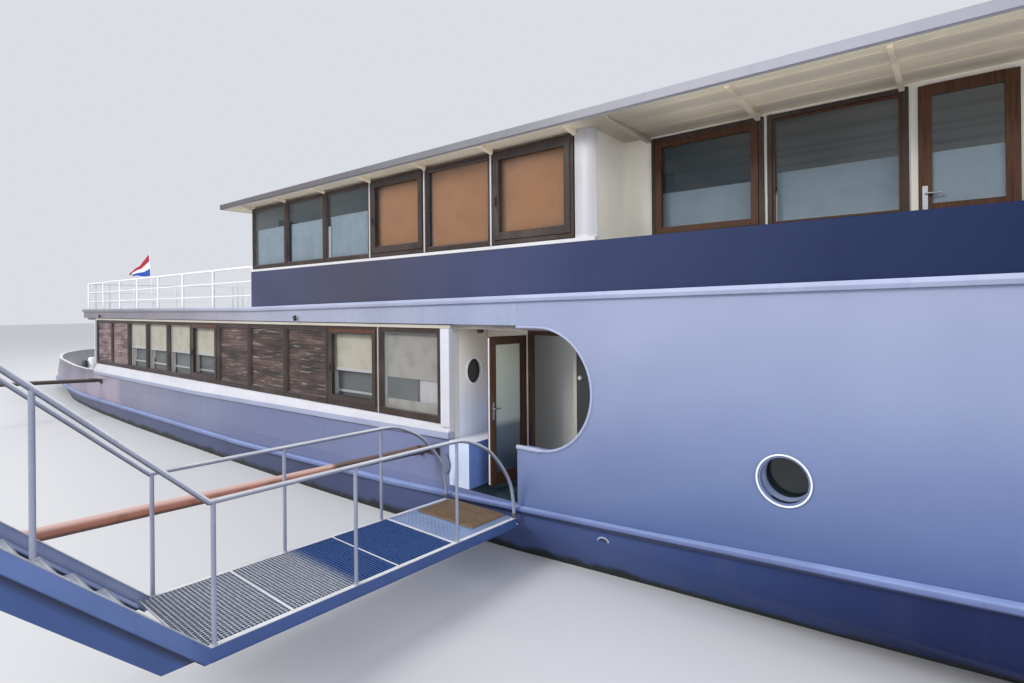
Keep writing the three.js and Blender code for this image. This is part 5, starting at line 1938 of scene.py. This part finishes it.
@dataclass
class Terrace:
    """Railing, flagstaff, flag and terrace door."""

    y: float = 2.588  # Distance of the railing from the centreline
    aft: float = -9.715  # X of the aft rail
    fore: float = 1.17  # X of the rails' fore ends
    top: float = 4.06  # Height of the top rail's axis
    deck: float = 3.152  # Height of the deck
    posts: tuple[float, ...] = (-9.715, -8.25, -6.75, -5.35, -3.85, -2.3, -0.65, 1.17)  # X of each pair of posts
    aft_posts: Triple = (-1.3, 0.0, 1.3)  # Y of the posts across the stern end
    bars: Pair = (0.29, 0.58)  # How far the level bars lie under the top rail
    staff: tuple[Triple, Triple] = ((-9.797, -0.7, 3.25), (-10.135, -0.7, 5.25))  # Foot and head of the flagstaff
    cloth: Pair = (1.2, 0.8)  # Length of the flag's fly and its hoist
    droop: float = 39.0  # Turn of the flag from straight aft, in degrees

    def railing(self) -> None:
        """White pipe railing with level bars, and upright bars across the stern end."""
        draft = Draft()
        rail = [(self.fore, -self.y, self.top), (self.aft, -self.y, self.top), (self.aft, self.y, self.top),
                (self.fore, self.y, self.top)]
        draft.tube(rail, 0.025, 16)
        for drop in self.bars:
            z = self.top - drop
            draft.tube([(x, y, z) for x, y, _ in rail], 0.014, 12)
        for x in self.posts:
            for sign in (-1, 1):
                draft.post(x, sign * self.y, (self.deck, self.top + 0.012), 0.027, 14)
                draft.post(x, sign * self.y, (self.deck, self.deck + 0.008), 0.045, 18)
        for y in self.aft_posts:
            draft.post(self.aft, y, (self.deck, self.top + 0.012), 0.024, 14)
        for i in range(3):
            for sign in (-1, 1):
                y = sign * (self.y - 0.19 * (i + 1))
                draft.box(self.aft - 0.006, self.aft + 0.006, y - 0.032, y + 0.032, self.deck + 0.06, self.top - 0.01)
        foot, head = (Vector(p) for p in self.staff)
        draft.tube([foot, foot.lerp(head, 0.97), head], [0.02, 0.016, 0.016], 14)
        knob = [head + Vector((0, 0, -0.02 + 0.012 * i)) for i in range(4)]
        draft.tube(knob, [0.012, 0.024, 0.024, 0.01], 14)
        draft.box(-9.94, self.aft, -0.725, -0.675, 4.042, 4.078)
        draft.box(-9.84, self.aft, -0.725, -0.675, 3.465, 3.495)
        draft.piece("terrace_rails", "rail_white", instead_of=["terrace_railing"], smooth=45.0)

    def flag(self) -> None:
        """Drooping flag, a thin folded sheet that hangs from the staff."""
        across, down = 56, 34
        wide, tall = self.cloth
        turn = radians(self.droop)
        out = Vector((-cos(turn), -sin(turn), 0.0))
        aside = Vector((sin(turn), -cos(turn), 0.0))
        start = Vector((-10.125, -0.705, 5.215))
        points, drops = [], []
        for j in range(down + 1):
            v = j / down
            for i in range(across + 1):
                u = i / across
                reach = u * (0.7 - 0.1 * v * u)
                sink = 0.76 * u ** 0.85 * (1.0 - 0.93 * v) + 0.02 * sin(6.0 * u)
                fold = 0.045 * sin(9.0 * u + 2.2 * v) * u ** 0.5 + 0.02 * sin(21.0 * u + 4.0 * v) * u
                p = start + out * reach + aside * fold
                p.z -= v * tall * (1.0 - 0.05 * u) + sink
                p.x += 0.145 * v * (1.0 - u)
                points.append(p)
                drops.append(v)
        mesh = bpy.data.meshes.new("flag_sheet")
        mesh.from_pydata(points, [], grid(across, down))
        attribute = mesh.attributes.new("drop", "FLOAT", "POINT")
        attribute.data.foreach_set("value", drops)
        flag = bpy.data.objects.new("flag_sheet", mesh)
        bpy.context.scene.collection.objects.link(flag)
        for polygon in mesh.polygons:
            polygon.use_smooth = True
        mesh.materials.append(LOCKER.get("flag_cloth"))
        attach(flag, Body.BOAT.value)
        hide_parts("flag")

    def doors(self) -> None:
        """Terrace and aft doors."""
        for node, body in (("terrace_door", Body.TERRACE_DOOR), ("aft_door", Body.AFT_DOOR)):
            rounded(node, "door_wood", bevel=0.003, body=body)

    def build(self) -> None:
        """Build the terrace."""
        self.railing()
        self.flag()
        self.doors()


@dataclass
class Gangway:
    """Platform with grating, tread plate and mat, stair and rails."""

    x0: float = 6.9  # Aft edge
    x1: float = 8.12  # Fore edge
    y0: float = -2.79  # Inner end
    out: float = 3.59  # Length of the platform
    z0: float = 0.612  # Height at the inner end
    z1: float = 0.722  # Height at the outer end
    deep: float = 0.116  # Depth of the side beams
    stair_out: float = 1.5  # How far the stair goes out
    stair_rise: float = 1.46  # How far it goes up
    stair_deep: float = 0.162  # Depth of the upper stringers, measured upright
    stair_low: float = 0.372  # Foot of the lower stringers under the walking line
    rail: float = 1.06  # Height of the rails
    rail_in: float = 0.025  # Distance of the rails' axes from the platform's edges
    posts_fore: Triple = (-3.797, -5.104, -6.35)  # Y of the fore rail's posts
    posts_aft: Triple = (-3.905, -5.142, -6.362)  # Y of the aft rail's posts
    members: Triple = (-3.82, -4.6, -5.71)  # Y of the cross members between the platform's ends
    margin: float = 0.052  # Distance of the grating from the platform's edges
    pitch: float = 0.0335  # Distance between its bars
    tread_count: int = 6  # Number of treads
    tread_first: float = 0.33  # How far out the first tread lies
    tread_step: float = 0.206  # Distance from one tread to the next
    tread_wide: float = 0.23  # Depth of a tread
    mat_box: tuple[Pair, Pair] = ((7.005, 7.955), (-2.8, -3.41))  # X edges of the mat, and its Y edges
    # Y and Z of the rails' bend down to the deck
    bend: tuple[Pair, ...] = (
        (-3.885, 1.74), (-3.711, 1.724), (-3.531, 1.664), (-3.306, 1.549), (-3.151, 1.415), (-2.99, 1.227),
        (-2.876, 1.035), (-2.827, 0.839), (-2.81, 0.6155))

    @property
    def end(self) -> float:
        """Y of the platform's outer end, where the stair starts."""
        return self.y0 - self.out

    @property
    def head(self) -> Pair:
        """Y and Z of the stair's upper end."""
        return self.end - self.stair_out, self.z1 + self.stair_rise

    @property
    def slope(self) -> float:
        """Rise of the stair for each metre out."""
        return self.stair_rise / self.stair_out

    @property
    def mitre(self) -> float:
        """How far inside the platform's outer end the foot of the webs turns up."""
        return (self.stair_deep - self.deep) / self.slope

    def height(self, y: float) -> float:
        """Height of the walking line at y."""
        return self.z0 + (self.z1 - self.z0) * (self.y0 - y) / self.out

    def lay(self, draft: Draft, name: str, finish: str, **more: object) -> None:
        """Turn a draft into a steel piece of the gangway."""
        draft.piece(name, finish, Body.GANGWAY, slot="galvanised_steel", **more)

    def cheek(self, draft: Draft, outline: Sequence[Pair], x0: float, x1: float) -> None:
        """Append a plate cut to an outline in Y and Z.

        Args:
            draft: The draft that takes it.
            outline: Corners as Y and Z.
            x0: One face.
            x1: Other face.
        """
        draft.loft([[(x, y, z) for y, z in outline] for x in sorted((x0, x1))])

    def strip(self, draft: Draft, ends: Sequence[Pair], top: float, down: float, x0: float,
              x1: float) -> None:
        """Append a bar that follows a line in Y and Z.

        Args:
            draft: The draft that takes it.
            ends: The line's two ends.
            top: How far the bar's top lies under the line.
            down: The bar's depth.
            x0: One face.
            x1: Other face.
        """
        (ya, za), (yb, zb) = ends
        self.cheek(draft, [(ya, za - top), (yb, zb - top), (yb, zb - top - down), (ya, za - top - down)], x0, x1)

    def beams(self) -> None:
        """Webs of the side beams, both stringers of the stair and the cross members."""
        inner, corner, head = (self.y0, self.z0), (self.end, self.z1), self.head
        web = [inner, corner, head, (head[0], head[1] - self.stair_deep),
               (self.end - self.mitre, self.z1 - self.deep), (self.y0, self.z0 - self.deep)]
        lower = [(self.end - 0.098, self.z1 - 0.02), (self.end - 0.098, self.z1 - 0.068),
                 (self.end - 0.321, self.z1 - 0.06), (head[0], head[1] - self.stair_low),
                 (head[0], head[1] - self.stair_deep + 0.042)]
        draft = Draft()
        for outer, inset in ((self.x0, 1.0), (self.x1, -1.0)):
            self.cheek(draft, web, outer + inset * 0.004, outer + inset * 0.016)
            self.cheek(draft, lower, outer + inset * 0.034, outer + inset * 0.048)
        for y in (self.y0, *self.members, self.end + 0.012):
            z = self.height(y)
            draft.box(self.x0 + 0.012, self.x1 - 0.012, y - 0.012, y, z - self.deep + 0.006, z - 0.036)
        self.lay(draft, "gangway_beams", "beam_blue", bevel=0.002, instead_of=["gangway"])

    def flanges(self) -> None:
        """Bright top flanges, blue bottom flanges, and the flat bars between the panels of grating."""
        draft, under = Draft(), Draft()
        deck, stair = ((self.y0, self.z0), (self.end, self.z1)), ((self.end, self.z1), self.head)
        foot = ((self.end - self.mitre, self.z1 + self.mitre * self.slope), self.head)
        for outer, inset in ((self.x0, 1.0), (self.x1, -1.0)):
            self.strip(draft, deck, -0.0005, 0.008, outer, outer + inset * 0.05)
            self.strip(draft, stair, 0.0, 0.009, outer, outer + inset * 0.046)
            self.strip(under, deck, self.deep - 0.008, 0.008, outer, outer + inset * 0.05)
            self.strip(under, foot, self.stair_deep - 0.01, 0.009, outer, outer + inset * 0.046)
        for y, wide in ((-3.84, 0.034), (-4.6, 0.018), (-5.71, 0.018), (self.end - 0.088, 0.008)):
            z = self.height(y)
            draft.box(self.x0 + 0.03, self.x1 - 0.03, y - wide / 2, y + wide / 2, z - 0.008, z + 0.002)
        self.lay(draft, "gangway_flanges", "rail_zinc", bevel=0.001)
        self.lay(under, "gangway_foot_flanges", "beam_blue", bevel=0.001)

    def grating(self) -> None:
        """Bar grating of the platform: bearing bars along it and thin bars across."""
        draft = Draft()
        low, high = self.x0 + self.margin, self.x1 - self.margin
        for ya, yb in ((-3.858, -4.59), (-4.61, -5.7), (-5.72, self.end - 0.085)):
            count = round((high - low) / self.pitch)
            for i in range(count + 1):
                x = low + (high - low) * i / count
                line = ((ya, self.height(ya)), (yb, self.height(yb)))
                self.strip(draft, line, 0.001, 0.026, x - 0.0026, x + 0.0026)
            rows = round((ya - yb) / self.pitch)
            for i in range(rows + 1):
                y = ya + (yb - ya) * i / rows
                z = self.height(y)
                draft.box(low, high, y - 0.0028, y + 0.0028, z - 0.01, z + 0.0005)
        self.lay(draft, "platform_grating", "grate_zinc")

    def tread_plate(self) -> None:
        """Chequered plate at the inner end, with its raised lozenges."""
        plate = Draft()
        self.strip(plate, ((self.y0, self.z0), (-3.823, self.height(-3.823))), 0.004, 0.006, self.x0 + 0.02,
                   self.x1 - 0.02)
        for i in range(34):
            for j in range(13):
                x, y = self.x0 + 0.065 + i * 0.0335, -3.805 + j * 0.0295
                z, tilt = self.height(y) - 0.0035, 1.0 if (i + j) % 2 else -1.0
                plate.tube([(x - 0.012, y - 0.008 * tilt, z), (x, y, z + 0.0008), (x + 0.012, y + 0.008 * tilt, z)],
                           [0.0012, 0.0028, 0.0012], 6)
        self.lay(plate, "tread_plate", "tread_plate")

    def mat(self) -> None:
        """Coir doormat with a bristly top and a flat rim."""
        (x0, x1), (y0, y1) = self.mat_box
        nx, ny = 110, 66
        rng = random.Random(7)
        points: list[Point] = []
        for j in range(ny + 1):
            for i in range(nx + 1):
                rim = i in (0, nx) or j in (0, ny)
                near = i in (1, nx - 1) or j in (1, ny - 1)
                x = x0 + (x1 - x0) * i / nx + (0.0 if rim else rng.uniform(-0.002, 0.002))
                y = y0 + (y1 - y0) * j / ny
                tuft = 0.001 if rim else 0.011 if near else 0.017 + rng.uniform(-0.004, 0.003)
                points.append((x, y, self.height(y) + tuft))
        mat = Draft()
        mat.add(points, grid(nx, ny))
        self.lay(mat, "coir_mat", "coir")

    def treads(self) -> None:
        """Grating treads of the stair with bright double nosings."""
        bars, nosings = Draft(), Draft()
        low, high = self.x0 + self.margin, self.x1 - self.margin
        for k in range(self.tread_count):
            out = self.tread_first + self.tread_step * k
            y1, z = self.end - out, self.z1 + out * self.stair_rise / self.stair_out - 0.105
            y0 = y1 - self.tread_wide
            for i in range(8):
                y = y0 + 0.004 + i * 0.03
                bars.box(low, high, y - 0.002, y + 0.002, z - 0.03, z - 0.001)
            for i in range(36):
                x = low + 0.012 + i * (high - low - 0.024) / 35
                bars.box(x - 0.0022, x + 0.0022, y0, y1, z - 0.009, z - 0.001)
            for y, deep in ((y1 - 0.006, 0.034), (y0 + 0.006, 0.034)):
                nosings.box(low, high, y - 0.004, y + 0.004, z - deep, z)
            nosings.box(low, high, y1 - 0.03, y1 - 0.004, z - 0.003, z)
        self.lay(bars, "stair_grating", "tread_zinc")
        self.lay(nosings, "stair_nosings", "nosing_bright", bevel=0.001)

    def rails(self) -> None:
        """Round rails and posts on both sides."""
        for name, x, posts in (("fore", self.x1 - self.rail_in, self.posts_fore),
                               ("aft", self.x0 + self.rail_in, self.posts_aft)):
            draft = Draft()
            path = [(x, self.head[0], self.head[1] + 1.03), (x, self.end, self.z1 + self.rail)]
            path += [(x, y, z) for y, z in smooth_line(self.bend, 5)]
            draft.tube(path, 0.021, 18)
            for y in posts:
                z = self.height(y)
                draft.post(x, y, (z + 0.001, self.rail_height(y)), 0.018, 16)
                draft.post(x, y, (z + 0.0012, z + 0.009), 0.024, 16)
            draft.post(x, self.end - 1.005, (self.z1 + 0.998, self.z1 + 2.008), 0.018, 16)
            self.lay(draft, f"rail_{name}", "rail_zinc", smooth=50.0, instead_of=[f"gangway_rail_{name}"])
        pins = Draft()
        for x in (self.x0 + self.rail_in, self.x1 - self.rail_in):
            pins.post(x, -2.812, (0.6165, 0.668, 0.676), (0.026, 0.026, 0.022), 18)
        pins.piece("rail_pins", "gear_slate", Body.GANGWAY, slot="slate_paint", smooth=40.0)
        paint_node("gangway_hinge", "rail_zinc")

    def rail_height(self, y: float) -> float:
        """Height of the rail's axis over a post.

        Args:
            y: Place of the post.

        Returns:
            The height.
        """
        line = [(self.end, self.z1 + self.rail), *self.bend]
        for (ya, za), (yb, zb) in zip(line, line[1:]):
            if ya <= y <= yb:
                return za + (zb - za) * (y - ya) / (yb - ya)
        return line[0][1]

    def build(self) -> None:
        """Build the gangway."""
        self.beams()
        self.flanges()
        self.grating()
        self.tread_plate()
        self.mat()
        self.treads()
        self.rails()


@dataclass
class MooringBoom:
    """Steel boom that holds the boat off the quay, with its bracket."""

    name: str  # fore or aft
    x: float  # Station
    z: float  # Height at the boat
    slope: float  # Rise outboard for each metre
    finish: str  # Finish of the tube
    body: Body  # The body it rides on
    length: float = 5.6  # Length of the tube
    radius: float = 0.058  # Its radius
    inner: float = -2.79  # Y of its inner end

    def build(self) -> None:
        """Build the boom with its pivot and weld collar."""
        draft = Draft()
        start = Vector((self.x, self.inner, self.z))
        end = start + Vector((0.0, -self.length, self.length * self.slope))
        stops = [start.lerp(end, t) for t in (0.0, 0.004, 0.02, 0.25, 0.5, 0.75, 0.992, 1.0)]
        r = self.radius
        draft.tube(stops, [r * 0.86, r * 0.99, r, r, r, r, r, r * 0.9], 28)
        draft.rod((self.x - 0.07, -2.8, self.z), (self.x + 0.07, -2.8, self.z), 0.022, 16)
        draft.piece(f"boom_{self.name}_tube", self.finish, self.body, slot="primer_steel",
                    instead_of=[f"boom_{self.name}"], smooth=50.0)
        collar = Draft()
        collar.tube([start.lerp(end, 0.03), start.lerp(end, 0.04)], r * 1.06, 28)
        collar.piece(f"boom_{self.name}_collars", "bracket_brown", self.body, bevel=0.002, slot="primer_steel")
        rounded(f"boom_bracket_{self.name}", "bracket_brown", bevel=0.004)


@dataclass
class DeckGear:
    """Bollards, windlass, and the vent, drum, dark bollard and locker on the aft deck."""

    deck: float = 0.765  # Height of the aft deck
    drum: Pair = (-11.5, -2.04)  # X and Y of the drum
    bollard: Pair = (-11.5, -2.27)  # X and Y of the dark bollard

    def build(self) -> None:
        """Build the deck gear."""
        for node in ("bollards_aft_starboard", "bollards_aft_port", "bollards_fore", "windlass"):
            rounded(node, "gear_slate", bevel=0.008, smooth=45.0)
        vent = Draft()
        vent.post(-12.9, -1.0, (self.deck, 1.3, 1.34), (0.17, 0.17, 0.14), 28)
        vent.piece("aft_vent", "stern_white")
        drum = Draft()
        drum.post(*self.drum, (self.deck, 1.52, 1.565), (0.13, 0.13, 0.1), 28)
        drum.piece("aft_drum", "ring_white")
        bollard = Draft()
        x, y = self.bollard
        bollard.post(x, y, (self.deck, 1.44, 1.47), (0.085, 0.085, 0.07), 20)
        bollard.rod((x - 0.16, y, 1.38), (x + 0.16, y, 1.38), 0.03)
        bollard.piece("aft_bollard", "gear_slate", slot="slate_paint", smooth=40.0)
        locker = Draft()
        locker.box(-14.4, -13.7, 0.1, 0.75, self.deck, 1.22)
        locker.piece("aft_locker", "gear_slate", bevel=0.012, slot="slate_paint")


def main() -> None:
    """Build every sub-assembly in order."""
    logging.basicConfig(level=logging.INFO, format="%(name)s %(message)s")
    Studio().build()
    for part in (HullShell(), LowerCabin(), Porch(), UpperCabin(), Roof(), Terrace(), Gangway(),
                 MooringBoom("fore", 6.55, 1.237, 0.0334, "boom_primer", Body.BOOM_FORE),
                 MooringBoom("aft", -8.1, 1.09, 0.047, "boom_brown", Body.BOOM_AFT), DeckGear()):
        part.build()
        log.info("built %s", type(part).__name__)


if __name__ == "__main__":
    main()
